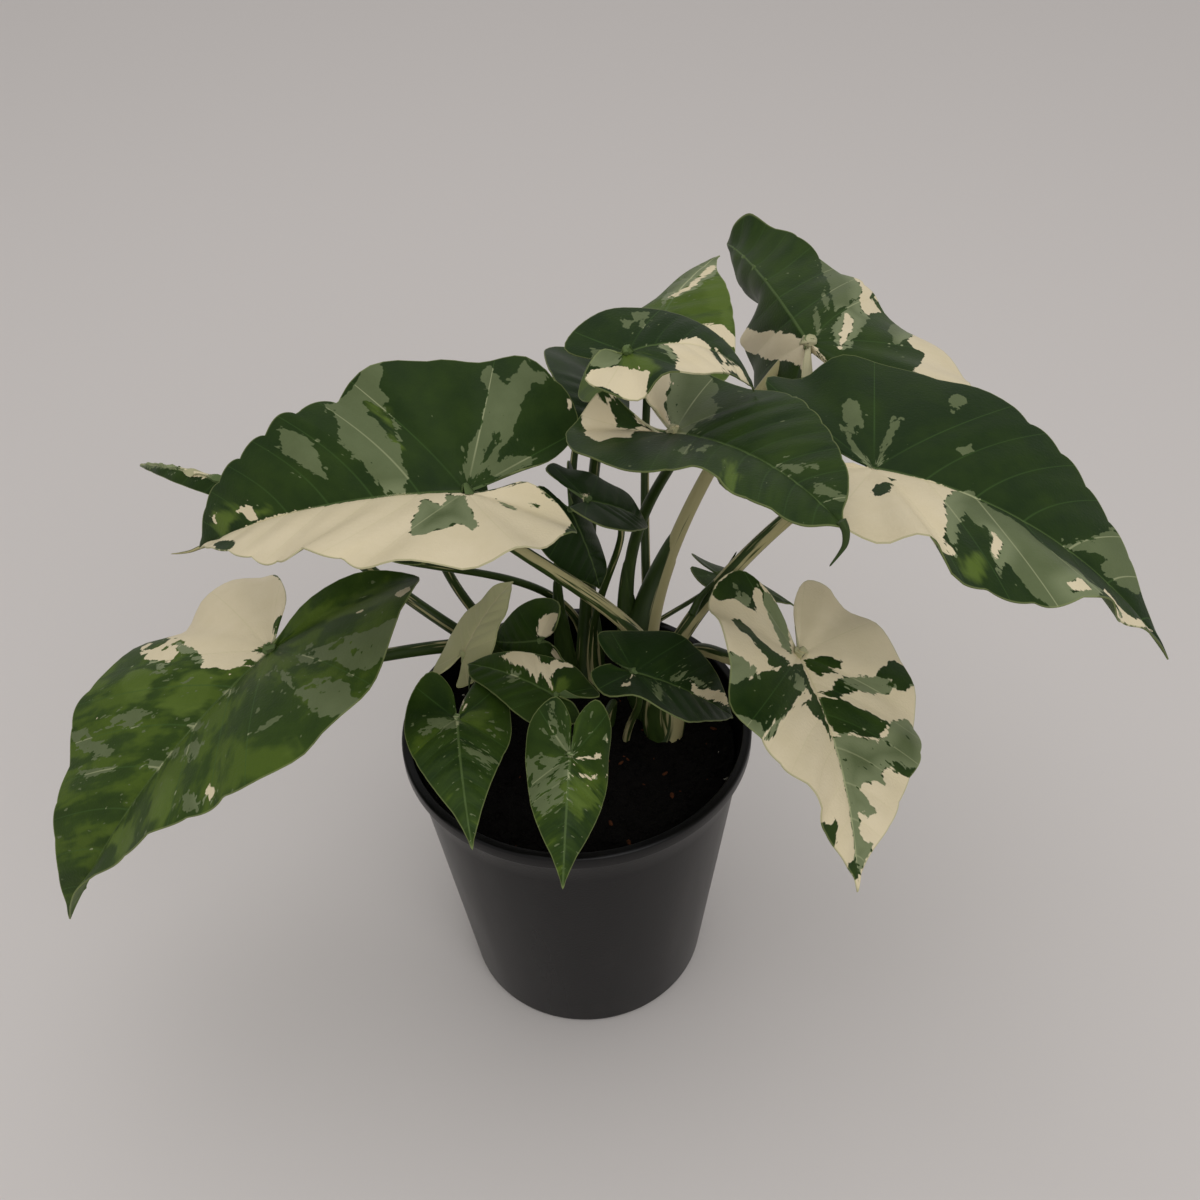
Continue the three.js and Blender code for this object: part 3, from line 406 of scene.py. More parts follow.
# Leaf: the form. Each leaf hangs from its stalk's end at a point "at", turned by its heading, rise and roll.
# An outline point is x along the rib, y out from the rib and the lift of the waved edge there.
leafTable = {
    'leaf_upper_left': dict(
        length=157, at=[-47, -2, 355], heading=190, rise=9, roll=-14,
        droop=59, back=-2, sway=-21, fold=[-24, -26], curl=[1, 16],
        stalk=[[48, 7, 166], [85, 34, 236], [-54, 13, 308]], stalkRadius=[5.0, 3.2], crown='right',
        left=[[-14, 1, 1], [-28, 6, 8], [-41, 16, 2], [-48, 32, -5], [-41, 52, 3], [-27, 65, 2],
          [-12, 72, 7], [8, 74, -4], [31, 69, 1], [49, 61, -4], [68, 51, 3], [90, 41, -5], [111, 28, -1],
          [132, 15, 2], [157, 0, 0]],
        right=[[-8, -3, 0], [-27, -11, 1], [-46, -19, -1], [-59, -36, -2], [-51, -58, 4], [-34, -70, 7],
          [-12, -73, -4], [13, -74, 2], [37, -68, 4], [57, -59, -6], [78, -52, 2], [96, -43, 1],
          [115, -33, 2], [135, -21, 1], [157, 0, 0]]),
    'leaf_upper_right': dict(
        length=172, at=[150, -5, 362], heading=-22, rise=0, roll=-2,
        droop=51, back=-2, sway=-5, fold=[-17, -13], curl=[13, 5],
        stalk=[[53, 8, 166], [17, 6, 237], [145, 23, 358]], stalkRadius=[5.2, 3.4], crown='right',
        left=[[-11, 3, 0], [-32, 13, 0], [-53, 25, 2], [-65, 45, 6], [-52, 65, -5], [-34, 76, 5],
          [-11, 81, -1], [13, 80, -1], [38, 76, 1], [61, 67, 1], [84, 56, 0], [106, 41, -1],
          [127, 26, 0], [148, 10, -1], [172, 0, 0]],
        right=[[-10, -3, 2], [-31, -12, 1], [-52, -22, 0], [-66, -41, 0], [-53, -62, 0], [-30, -73, 1],
          [-7, -79, 4], [15, -80, -2], [32, -76, 6], [51, -70, -11], [86, -61, -8], [108, -45, 7],
          [128, -28, -2], [148, -11, 1], [172, 0, 0]]),
    'leaf_top_right': dict(
        length=163, at=[137, 116, 366], heading=105, rise=11, roll=-29,
        droop=30, back=10, sway=5, fold=[37, 19], curl=[31, 32],
        stalk=[[51, 16, 166], [5, 44, 249], [152, 181, 354]], stalkRadius=[5.2, 3.2], crown='right',
        left=[[-4, 3, 2], [-18, 7, 8], [-36, 15, 11], [-60, 36, 1], [-56, 59, -1], [-38, 71, 0],
          [-15, 76, 0], [10, 73, 0], [35, 64, 0], [58, 52, -4], [79, 40, -1], [98, 33, -31],
          [118, 22, -9], [140, 10, -3], [163, 0, 0]],
        right=[[-3, -1, -5], [-25, -7, -3], [-50, -21, 0], [-69, -42, 2], [-62, -65, 9], [-41, -75, 2],
          [-16, -77, 1], [9, -73, -6], [34, -66, -8], [57, -58, 0], [81, -45, -1], [104, -31, 11],
          [126, -20, 13], [146, -11, 19], [163, 0, 0]]),
    'leaf_centre': dict(
        length=121, at=[54, 0, 383], heading=-48, rise=18, roll=-9,
        droop=21, back=18, sway=-23, fold=[-25, -5], curl=[13, 16],
        stalk=[[46, 22, 166], [3, 98, 266], [77, 50, 339]], stalkRadius=[4.2, 2.4], crown='right',
        left=[[-6, 3, 0], [-21, 10, 2], [-36, 16, 1], [-48, 27, 1], [-41, 38, 11], [-26, 45, 3],
          [-8, 47, -2], [10, 47, -4], [28, 45, -2], [45, 42, 0], [61, 37, 0], [76, 31, 0], [91, 24, 1],
          [106, 16, 1], [121, 0, 0]],
        right=[[-6, -5, -1], [-21, -9, 9], [-37, -14, 17], [-46, -22, -1], [-38, -36, -1],
          [-23, -44, 0], [-6, -47, 1], [11, -48, -2], [28, -46, -1], [44, -41, 2], [60, -35, 6],
          [75, -30, -1], [91, -23, -2], [108, -16, -3], [121, 0, 0]]),
    'leaf_lower_right': dict(
        length=123, at=[117, -32, 267], heading=-72, rise=-14, roll=-21,
        droop=37, back=3, sway=-1, fold=[-13, -16], curl=[14, 8],
        stalk=[[57, 19, 166], [60, 53, 253], [86, -37, 239]], stalkRadius=[4.6, 3.2], crown='right',
        left=[[-3, 1, 0], [-16, 6, 0], [-33, 13, 0], [-46, 26, 0], [-41, 40, -1], [-28, 48, -5],
          [-12, 55, 3], [8, 59, 2], [27, 58, 3], [45, 53, -2], [62, 46, 4], [77, 34, 0], [93, 21, 1],
          [108, 7, -1], [123, 0, 0]],
        right=[[-3, -1, 0], [-19, -2, 3], [-36, -9, 6], [-48, -22, 5], [-41, -39, -1], [-26, -50, -3],
          [-9, -56, 5], [10, -59, 2], [29, -59, -8], [46, -53, -3], [62, -44, -1], [76, -32, 6],
          [92, -21, -2], [109, -9, 0], [123, 0, 0]]),
    'leaf_top_back': dict(
        length=106, at=[49, 95, 382], heading=77, rise=5, roll=-15,
        droop=13, back=2, sway=-22, fold=[8, 10], curl=[21, 28],
        stalk=[[48, 27, 166], [40, 51, 210], [47, 172, 310]], stalkRadius=[3.2, 2.1], crown='right',
        left=[[-3, 3, 0], [-24, 10, 0], [-41, 26, 0], [-26, 42, 0], [-2, 47, 0], [22, 43, 0],
          [45, 34, 1], [65, 22, -2], [85, 10, 1], [106, 0, 0]],
        right=[[-3, -3, 0], [-23, -11, 1], [-40, -26, 3], [-25, -42, 0], [-2, -46, -2], [21, -42, -1],
          [44, -34, 0], [65, -23, 1], [85, -9, 0], [106, 0, 0]]),
    'young_leaf_right': dict(
        length=51, at=[92, 100, 216], heading=-12, rise=-14, roll=-15,
        droop=15, back=28, sway=1, fold=[8, 4], curl=[6, 8],
        stalk=[[53, 23, 166], [14, 67, 217], [56, 90, 176]], stalkRadius=[2.0, 1.4], crown='right',
        width=[0.96, 0.9]),
    'leaf_lower_left': dict(
        length=191, at=[-160, -8, 262], heading=227, rise=-12, roll=7,
        droop=57, back=-16, sway=-29, fold=[-25, -13], curl=[26, 33],
        stalk=[[-4, 58, 166], [-33, 66, 240], [-167, -10, 222]], stalkRadius=[4.6, 3.2], crown='back',
        left=[[-3, 1, 2], [-30, 7, 11], [-58, 19, 11], [-75, 39, 1], [-58, 62, 6], [-32, 79, 3],
          [-8, 90, -3], [14, 94, -1], [35, 91, -5], [59, 81, 1], [81, 66, -2], [102, 48, 3],
          [127, 32, 1], [154, 16, 7], [191, 0, 0]],
        right=[[-3, -2, -1], [-18, -13, 1], [-27, -20, 2], [-35, -34, 0], [-42, -56, -4],
          [-38, -72, -6], [-25, -82, -1], [-7, -88, -2], [15, -90, -10], [38, -88, 3], [61, -82, 8],
          [84, -71, 12], [109, -56, 4], [132, -41, 6], [156, -24, 3], [191, 0, 0]]),
    'leaf_top_centre': dict(
        length=74, at=[33, 2, 425], heading=10, rise=17, roll=-2,
        droop=85, back=11, sway=4, fold=[-12, -1], curl=[7, 7],
        stalk=[[5, 53, 166], [15, 102, 288], [11, 69, 336]], stalkRadius=[3.8, 2.6], crown='back',
        left=[[-3, 1, 0], [-15, 3, 0], [-27, 16, 0], [-18, 29, 1], [-3, 34, 2], [12, 32, -1],
          [28, 26, -1], [44, 18, 0], [59, 10, 0], [74, 0, 0]],
        right=[[-3, -1, 1], [-12, -2, 7], [-23, -13, 2], [-15, -27, 0], [-3, -33, -5], [10, -31, 3],
          [27, -27, -1], [43, -19, -1], [58, -10, -2], [74, 0, 0]]),
    'leaf_back_centre': dict(
        length=81, at=[27, 143, 322], heading=-96, rise=19, roll=-49,
        droop=28, back=13, sway=8, fold=[7, 4], curl=[18, 19],
        stalk=[[9, 62, 166], [17, 78, 228], [-20, 117, 309]], stalkRadius=[3.0, 2.0], crown='back',
        width=[0.51, 1.28]),
    'leaf_inner': dict(
        length=57, at=[12, 17, 334], heading=25, rise=-27, roll=12,
        droop=38, back=14, sway=18, fold=[-8, -13], curl=[18, 6],
        stalk=[[12, 50, 166], [-2, 68, 240], [57, 46, 299]], stalkRadius=[2.6, 1.7], crown='back',
        left=[[-3, 4, 0], [-12, 7, 0], [-22, 15, 0], [-13, 24, 1], [-1, 26, -1], [12, 25, 0],
          [24, 20, 0], [36, 14, 2], [46, 7, 1], [57, 0, 0]],
        right=[[-3, -5, -1], [-12, -8, -2], [-21, -16, 0], [-13, -24, 1], [-1, -26, 0], [12, -25, 0],
          [24, -20, 0], [35, -14, 0], [46, -7, 0], [57, 0, 0]]),
    'leaf_inner_hanging': dict(
        length=59, at=[2, 43, 310], heading=-35, rise=-63, roll=3,
        droop=35, back=25, sway=17, fold=[13, 7], curl=[29, 20],
        stalk=[[-3, 52, 166], [-3, 51, 216], [-16, 58, 274]], stalkRadius=[2.6, 1.7], crown='back',
        left=[[-3, 2, 2], [-10, 6, 0], [-21, 14, 0], [-14, 23, 0], [-1, 26, 0], [12, 25, -1],
          [25, 21, -1], [37, 15, 1], [49, 8, 3], [59, 0, 0]],
        right=[[-3, -2, 0], [-12, -6, 0], [-22, -14, 0], [-14, -23, 0], [-1, -26, 0], [12, -25, 0],
          [25, -21, 0], [37, -15, 0], [48, -7, 0], [59, 0, 0]]),
    'leaf_far_left': dict(
        length=102, at=[-169, 45, 330], heading=166, rise=14, roll=-44,
        droop=67, back=25, sway=2, fold=[12, 11], curl=[20, 20],
        stalk=[[-8, 61, 166], [-63, 34, 205], [-188, 110, 307]], stalkRadius=[4.4, 2.8], crown='back',
        width=[0.2, 0.04]),
    'leaf_behind_left': dict(
        length=72, at=[-72, 43, 325], heading=87, rise=16, roll=5,
        droop=30, back=25, sway=-1, fold=[11, 12], curl=[19, 20],
        stalk=[[1, 58, 166], [-77, 71, 202], [-87, 82, 280]], stalkRadius=[3.6, 2.4], crown='back',
        width=[0.99, 1.02]),
    'leaf_under_left': dict(
        length=46, at=[-87, 19, 309], heading=182, rise=22, roll=6,
        droop=33, back=25, sway=-1, fold=[-3, -1], curl=[13, 13],
        stalk=[[4, 65, 166], [25, 105, 239], [-110, 30, 274]], stalkRadius=[2.8, 1.8], crown='back',
        width=[0.83, 1.08]),
    'young_leaf_front_left': dict(
        length=70, at=[-57, -64, 262], heading=-84, rise=4, roll=1,
        droop=48, back=26, sway=3, fold=[13, -1], curl=[16, 19],
        stalk=[[-48, 10, 166], [-49, -2, 206], [-54, -84, 232]], stalkRadius=[2.2, 1.5], crown=None,
        left=[[-3, 1, 0], [-16, 5, -4], [-28, 15, -4], [-19, 25, 1], [-4, 28, 0], [12, 26, 0],
          [26, 20, 0], [40, 13, 0], [55, 6, 0], [70, 0, 0]],
        right=[[-3, -1, -1], [-19, -2, 2], [-30, -11, 4], [-20, -23, 0], [-4, -27, 0], [12, -25, 0],
          [27, -20, 0], [41, -13, 0], [55, -5, 0], [70, 0, 0]]),
    'young_leaf_front': dict(
        length=63, at=[-1, -92, 262], heading=-96, rise=-22, roll=-5,
        droop=38, back=18, sway=2, fold=[20, 13], curl=[26, 23],
        stalk=[[18, 13, 166], [32, 19, 238], [3, -89, 230]], stalkRadius=[2.2, 1.5], crown=None,
        left=[[-6, 1, 0], [-19, 2, 0], [-29, 11, 1], [-19, 21, 0], [-4, 23, -2], [11, 22, -1],
          [25, 18, 0], [38, 12, 0], [50, 5, 0], [63, 0, 0]],
        right=[[-7, -1, -1], [-20, -2, 0], [-29, -10, 0], [-19, -21, 1], [-5, -24, 0], [10, -22, -1],
          [25, -18, 0], [38, -12, 0], [50, -5, 0], [63, 0, 0]]),
    'young_leaf_centre_left': dict(
        length=53, at=[-9, -46, 258], heading=153, rise=20, roll=-3,
        droop=38, back=22, sway=-1, fold=[-4, -3], curl=[17, 15],
        stalk=[[-4, 18, 166], [-5, 9, 200], [-28, -34, 239]], stalkRadius=[2.2, 1.5], crown=None,
        left=[[-3, 1, 3], [-12, 2, 4], [-19, 8, 1], [-11, 16, 1], [0, 21, 0], [12, 20, 0], [23, 17, 1],
          [34, 13, 0], [45, 9, 0], [53, 0, 0]],
        right=[[-3, -5, 2], [-12, -6, 1], [-20, -12, 0], [-11, -19, -1], [0, -23, 1], [12, -22, 0],
          [23, -19, 0], [34, -14, 1], [44, -9, 0], [53, 0, 0]]),
    'young_leaf_centre_right': dict(
        length=66, at=[32, -35, 262], heading=-11, rise=-13, roll=3,
        droop=48, back=21, sway=18, fold=[-10, -16], curl=[10, -4],
        stalk=[[28, 4, 166], [29, -1, 201], [41, -35, 233]], stalkRadius=[2.4, 1.6], crown=None,
        left=[[-3, 1, 0], [-15, 4, 0], [-24, 14, 0], [-13, 25, -3], [2, 30, -1], [17, 31, 3],
          [30, 27, 2], [43, 20, 1], [54, 11, 0], [66, 0, 0]],
        right=[[-3, -1, -4], [-14, -5, 3], [-23, -15, -1], [-13, -26, -3], [2, -30, 4], [16, -30, 1],
          [30, -26, -2], [42, -18, -1], [54, -10, 0], [66, 0, 0]]),
    'young_leaf_pale': dict(
        length=50, at=[-60, 5, 244], heading=53, rise=42, roll=-17,
        droop=35, back=32, sway=9, fold=[6, -5], curl=[14, 7],
        stalk=[[-46, 36, 166], [-48, 32, 194], [-42, 20, 237]], stalkRadius=[2.2, 1.5], crown=None,
        left=[[-3, 3, 0], [-10, 6, -1], [-19, 13, -1], [-12, 20, 0], [-1, 23, 0], [10, 22, 0],
          [21, 18, 1], [31, 13, 0], [42, 8, 2], [50, 0, 0]],
        right=[[-3, -7, -6], [-9, -8, 0], [-19, -13, 0], [-12, -20, 0], [-2, -22, 0], [10, -21, 0],
          [21, -17, 1], [31, -13, -1], [41, -7, 0], [50, 0, 0]]),
    'young_leaf_back': dict(
        length=42, at=[-19, 24, 234], heading=168, rise=-17, roll=-71,
        droop=50, back=76, sway=5, fold=[6, 14], curl=[18, 22],
        stalk=[[-10, 36, 166], [-11, 35, 189], [-23, 42, 226]], stalkRadius=[2.2, 1.5], crown=None,
        width=[1.07, 1.27]),
}

# A small plain leaf's outline, as shares of its length
plainOutline = [(-0.03, 0.012), (-0.25, 0.09), (-0.4, 0.24), (-0.26, 0.4), (-0.03, 0.46),
                (0.19, 0.43), (0.41, 0.36), (0.61, 0.24), (0.8, 0.12), (1, 0)]

# The markings of each leaf, painted in this order: a colour and its outline, which was traced as a
# simple polygon on the photograph, 1200 pixels wide and high. Green clears what lies under it.
tracedMarkings = {
    'leaf_upper_left': [
        ('cream', [(196, 552), (215, 541), (240, 530), (262, 520), (300, 510), (330, 505), (360, 500),
            (400, 495), (440, 493), (466, 494), (480, 493), (500, 487), (520, 482), (540, 484), (548, 497),
            (565, 503), (570, 520), (560, 537), (545, 552), (520, 556), (480, 578), (440, 578), (400, 568),
            (375, 575), (340, 572), (280, 572), (230, 562)]),
        ('silver', [(424, 499), (410, 528), (414, 541), (428, 535), (437, 530), (447, 532), (455, 525),
            (463, 527), (474, 533), (480, 530), (477, 518), (468, 505), (466, 496), (446, 496), (441, 506),
            (430, 503)]),
        ('silver', [(496, 499), (503, 502), (517, 509), (516, 513), (503, 507)]),
        ('silver', [(518, 501), (530, 502), (540, 507), (530, 507)]),
        ('green', [(215, 545), (232, 540), (237, 541), (236, 547), (230, 551), (222, 552), (214, 549)]),
        ('silver', [(383, 362), (368, 362), (358, 380), (350, 393), (335, 403), (326, 406), (336, 415),
            (340, 425), (339, 435), (348, 448), (362, 463), (376, 480), (386, 494), (404, 493), (407, 480),
            (402, 465), (398, 455), (400, 440), (396, 425), (393, 412), (384, 398), (379, 385), (381, 372)]),
        ('lime', [(362, 398), (380, 405), (393, 415), (397, 430), (398, 447), (390, 440), (380, 428),
            (368, 415)]),
        ('silver', [(483, 364), (493, 370), (498, 385), (508, 387), (513, 375), (521, 362), (530, 368),
            (545, 377), (558, 381), (545, 383), (528, 381), (524, 393), (520, 410), (513, 425), (507, 440),
            (497, 455), (488, 468), (478, 475), (465, 478), (463, 470), (468, 458), (470, 445), (478, 432),
            (482, 420), (485, 405), (488, 392), (484, 380)]),
        ('green', [(496, 430), (504, 428), (499, 440), (490, 455), (480, 470), (484, 452), (490, 440)]),
        ('silver', [(488, 471), (500, 460), (513, 455), (528, 457), (535, 460), (520, 470), (505, 477),
            (493, 476)]),
        ('silver', [(280, 428), (295, 432), (308, 440), (315, 448), (320, 460), (322, 470), (328, 480),
            (316, 472), (300, 463), (285, 452), (281, 444)]),
        ('cream', [(237, 511), (242, 507), (252, 506), (255, 512), (258, 518), (250, 520), (244, 514)]),
        ('lime', [(255, 509), (267, 513), (258, 515)]),
        ('cream', [(213, 517), (219, 515), (218, 523)]),
        ('lime', [(216, 512), (236, 512), (240, 520), (232, 530), (222, 535), (217, 525)]),
        ('cream', [(565, 396), (571, 396), (571, 412), (567, 410)]),
    ],
    'leaf_lower_left': [
        ('cream', [(203, 668), (225, 669), (250, 666), (262, 656), (272, 648), (275, 640), (272, 627),
            (274, 620), (282, 612), (284, 593), (284, 584), (264, 562), (256, 571), (242, 568), (237, 571),
            (222, 582), (203, 596), (190, 615), (188, 630), (178, 632), (163, 637), (180, 641), (190, 646),
            (203, 656)]),
        ('green', [(250, 651), (262, 647), (271, 650), (262, 655), (254, 655)]),
        ('green', [(243, 660), (255, 661), (258, 664), (247, 666)]),
        ('cream', [(140, 652), (146, 645), (152, 643), (151, 650), (165, 651), (166, 643), (174, 644),
            (178, 655), (170, 662), (155, 660), (145, 660)]),
        ('silver', [(155, 659), (165, 668), (175, 678), (182, 684), (170, 677), (160, 669)]),
        ('silver', [(175, 642), (188, 646), (200, 655), (207, 664), (195, 661), (180, 651)]),
        ('silver', [(295, 657), (318, 650), (340, 640), (365, 632), (378, 622), (390, 615), (388, 632),
            (382, 640), (378, 655), (370, 670), (362, 672), (345, 668), (328, 660), (310, 663), (298, 662)]),
        ('silver', [(300, 693), (312, 688), (320, 697), (335, 688), (350, 697), (362, 700), (352, 708),
            (335, 717), (325, 719), (318, 710), (312, 714), (306, 705)]),
        ('silver', [(318, 678), (335, 679), (350, 688), (358, 702), (345, 697), (330, 690)]),
        ('silver', [(275, 668), (285, 674), (298, 686), (312, 710), (303, 698), (290, 684)]),
        ('silver', [(70, 732), (88, 730), (92, 742), (105, 745), (115, 750), (108, 757), (95, 755),
            (80, 748), (74, 740)]),
        ('silver', [(112, 720), (122, 716), (133, 713), (153, 711), (140, 720), (130, 727), (118, 725)]),
        ('silver', [(83, 773), (95, 769), (108, 766), (117, 767), (108, 772), (95, 776), (85, 776)]),
        ('silver', [(144, 762), (155, 761), (166, 763), (160, 770), (150, 769)]),
        ('silver', [(165, 752), (180, 749), (178, 757), (168, 758)]),
        ('silver', [(185, 750), (195, 741), (200, 748), (197, 760), (190, 762)]),
        ('silver', [(180, 800), (190, 794), (201, 805), (197, 812), (184, 811)]),
        ('silver', [(220, 690), (233, 689), (236, 692), (226, 696)]),
        ('silver', [(188, 724), (200, 722), (205, 726), (196, 731)]),
        ('silver', [(262, 722), (270, 724), (266, 730)]),
        ('cream', [(209, 783), (215, 790), (211, 799), (207, 792)]),
        ('cream', [(346, 615), (356, 606), (352, 615)]),
        ('cream', [(358, 601), (368, 598), (367, 604)]),
        ('cream', [(376, 588), (388, 580), (390, 591), (383, 596), (375, 592)]),
        ('lime', [(130, 668), (150, 670), (155, 690), (145, 702), (130, 697), (125, 682)]),
        ('lime', [(160, 702), (200, 698), (207, 715), (180, 718), (160, 710)]),
        ('lime', [(180, 672), (205, 668), (218, 675), (205, 688), (185, 690)]),
        ('lime', [(285, 738), (300, 735), (305, 750), (290, 757)]),
        ('lime', [(310, 612), (340, 600), (360, 592), (372, 598), (345, 615), (322, 626)]),
        ('lime', [(160, 780), (176, 782), (176, 808), (165, 820), (150, 822), (152, 800)]),
        ('lime', [(112, 832), (130, 820), (135, 842), (120, 852), (106, 852)]),
    ],
    'leaf_centre': [
        ('cream', [(662, 434), (640, 434), (628, 440), (612, 443), (600, 447), (588, 449), (580, 435),
            (582, 422), (590, 410), (600, 407), (605, 410), (612, 402), (622, 410), (630, 418), (640, 419),
            (648, 428), (655, 430)]),
        ('cream', [(651, 376), (660, 382), (665, 395), (664, 410), (670, 425), (677, 434), (668, 432),
            (655, 425), (645, 415), (640, 405), (644, 393), (648, 383)]),
        ('silver', [(660, 382), (672, 376), (690, 375), (708, 383), (718, 392), (714, 400), (717, 412),
            (712, 420), (700, 422), (690, 430), (680, 435), (672, 428), (666, 412), (666, 396)]),
        ('silver', [(777, 465), (795, 467), (805, 470), (800, 474), (785, 470)]),
        ('silver', [(802, 465), (818, 467), (818, 470), (806, 469)]),
        ('silver', [(817, 486), (830, 489), (845, 499), (842, 504), (828, 497), (818, 492)]),
        ('silver', [(680, 452), (690, 445), (686, 455)]),
        ('silver', [(695, 452), (707, 447), (705, 452), (697, 455)]),
        ('lime', [(725, 465), (735, 463), (739, 478), (732, 492), (722, 478)]),
    ],
    'leaf_upper_right': [
        ('silver', [(845, 405), (851, 399), (858, 405), (863, 415), (860, 431), (855, 428), (850, 440),
            (848, 425), (845, 415)]),
        ('silver', [(895, 418), (898, 425), (892, 438), (886, 450), (880, 466), (884, 445), (889, 430)]),
        ('silver', [(842, 425), (850, 438), (862, 455), (871, 466), (858, 456), (846, 440)]),
        ('silver', [(948, 402), (958, 395), (967, 402), (960, 409), (951, 413)]),
        ('silver', [(795, 392), (800, 393), (806, 402), (800, 398)]),
        ('silver', [(958, 450), (972, 447), (972, 450), (962, 455)]),
        ('silver', [(785, 398), (795, 397), (793, 402), (787, 402)]),
        ('silver', [(1062, 546), (1080, 544), (1090, 543), (1100, 533), (1112, 528), (1120, 540),
            (1130, 555), (1138, 570), (1142, 590), (1136, 597), (1122, 587), (1105, 575), (1100, 567),
            (1112, 562), (1100, 555), (1080, 551)]),
        ('cream', [(842, 458), (858, 463), (870, 468), (900, 474), (930, 480), (955, 490), (948, 500),
            (945, 520), (944, 540), (947, 553), (938, 549), (925, 541), (915, 539), (900, 547), (885, 549),
            (866, 547), (850, 534), (838, 526), (836, 500), (842, 480), (840, 465)]),
        ('green', [(869, 498), (875, 488), (882, 484), (893, 485), (890, 495), (880, 499)]),
        ('green', [(883, 476), (890, 478), (899, 482), (890, 481)]),
        ('silver', [(945, 500), (955, 490), (975, 495), (990, 510), (1005, 517), (1020, 527), (1035, 540),
            (1055, 555), (1075, 570), (1090, 585), (1102, 593), (1090, 602), (1075, 610), (1055, 611),
            (1040, 598), (1030, 590), (1020, 578), (1010, 570), (1007, 560), (1000, 577), (996, 570),
            (993, 555), (990, 545), (988, 530), (975, 525), (965, 514), (958, 520), (955, 540), (953, 555),
            (948, 545), (944, 525)]),
        ('cream', [(1066, 584), (1080, 579), (1090, 590), (1075, 592)]),
        ('cream', [(993, 535), (1001, 545), (996, 560), (992, 550)]),
        ('cream', [(1098, 591), (1104, 592), (1116, 605), (1130, 618), (1150, 632), (1138, 627), (1122, 622),
            (1112, 612)]),
        ('cream', [(944, 540), (952, 548), (955, 553), (948, 556)]),
        ('silver', [(1114, 606), (1122, 616), (1119, 624), (1112, 620)]),
        ('lime', [(960, 560), (978, 553), (985, 572), (972, 582), (962, 575)]),
    ],
    'leaf_lower_right': [
        ('cream', [(700, 570), (780, 560), (940, 560), (950, 700), (940, 790), (880, 900), (840, 900),
            (740, 760), (700, 700)]),
        ('green', [(709, 594), (722, 578), (735, 571), (752, 573), (760, 588), (752, 590), (752, 600),
            (756, 613), (745, 610), (735, 603), (718, 602)]),
        ('silver', [(728, 580), (735, 590), (748, 600), (745, 608), (735, 598)]),
        ('silver', [(761, 590), (770, 597), (780, 610), (788, 625), (790, 640), (792, 656), (783, 650),
            (775, 635), (768, 620), (762, 605)]),
        ('green', [(728, 618), (738, 621), (748, 628), (755, 635), (762, 643), (770, 649), (778, 654),
            (786, 660), (790, 663), (780, 669), (766, 668), (764, 657), (755, 648), (747, 636), (738, 630)]),
        ('silver', [(722, 650), (740, 655), (752, 664), (759, 672), (745, 678), (735, 682), (722, 682)]),
        ('green', [(724, 683), (745, 680), (760, 673), (775, 670), (790, 665), (801, 662), (808, 680),
            (815, 695), (822, 710), (829, 730), (830, 743), (822, 722), (812, 716), (805, 705), (795, 710),
            (785, 714), (775, 722), (770, 730), (763, 739), (750, 735), (738, 722), (724, 706)]),
        ('cream', [(790, 705), (798, 697), (808, 690), (811, 698), (800, 707)]),
        ('silver', [(733, 716), (750, 718), (765, 737), (775, 721), (787, 712), (781, 726), (768, 742),
            (755, 740), (740, 728)]),
        ('silver', [(795, 675), (803, 680), (803, 693), (793, 690)]),
        ('green', [(803, 659), (825, 657), (842, 662), (840, 671), (828, 668), (836, 673), (820, 678),
            (808, 671)]),
        ('green', [(818, 693), (832, 690), (834, 682), (845, 678), (858, 682), (856, 692), (845, 695),
            (830, 699)]),
        ('silver', [(840, 680), (858, 675), (880, 678), (895, 684), (912, 688), (885, 695), (870, 694),
            (858, 692)]),
        ('green', [(875, 675), (885, 665), (893, 661), (908, 668), (920, 686), (900, 690), (885, 688),
            (890, 680)]),
        ('green', [(818, 698), (835, 699), (850, 702), (855, 708), (870, 714), (888, 722), (882, 735),
            (880, 741), (865, 738), (850, 733), (845, 738), (838, 738), (829, 725), (822, 710)]),
        ('silver', [(832, 738), (850, 734), (865, 740), (882, 738), (890, 722), (908, 719), (918, 735),
            (925, 750), (928, 762), (922, 775), (912, 776), (900, 772), (885, 768), (880, 775), (888, 789),
            (875, 784), (865, 782), (860, 790), (868, 797), (876, 816), (868, 818), (860, 812), (860, 830),
            (863, 840), (874, 843), (870, 855), (862, 867), (858, 876), (853, 860), (852, 845), (850, 820),
            (847, 800), (843, 780), (838, 760)]),
        ('green', [(885, 762), (897, 760), (905, 768), (915, 768), (922, 776), (905, 777), (893, 772)]),
        ('green', [(846, 862), (856, 858), (859, 870), (857, 882), (849, 872)]),
        ('green', [(817, 820), (830, 824), (834, 816), (837, 830), (835, 848), (824, 842)]),
    ],
    'leaf_top_right': [
        ('silver', [(820, 255), (835, 258), (852, 272), (860, 285), (862, 296), (855, 300), (845, 306),
            (835, 311), (832, 296), (828, 282), (821, 270)]),
        ('cream', [(850, 275), (868, 276), (880, 288), (880, 298), (872, 305), (885, 312), (868, 316),
            (860, 310), (860, 300), (862, 290)]),
        ('green', [(872, 291), (877, 295), (874, 305), (869, 303)]),
        ('silver', [(833, 330), (845, 311), (860, 300), (862, 312), (868, 318), (860, 330), (850, 341),
            (842, 352), (836, 342)]),
        ('cream', [(845, 314), (853, 320), (850, 333), (843, 346), (838, 352), (842, 330)]),
        ('silver', [(888, 330), (900, 322), (912, 336), (895, 346)]),
        ('cream', [(905, 341), (922, 333), (940, 342), (955, 358), (972, 375), (982, 395), (955, 396),
            (935, 384), (913, 372), (920, 360), (922, 350), (912, 346)]),
        ('cream', [(736, 345), (736, 328), (760, 332), (790, 334), (805, 341), (815, 350), (822, 362),
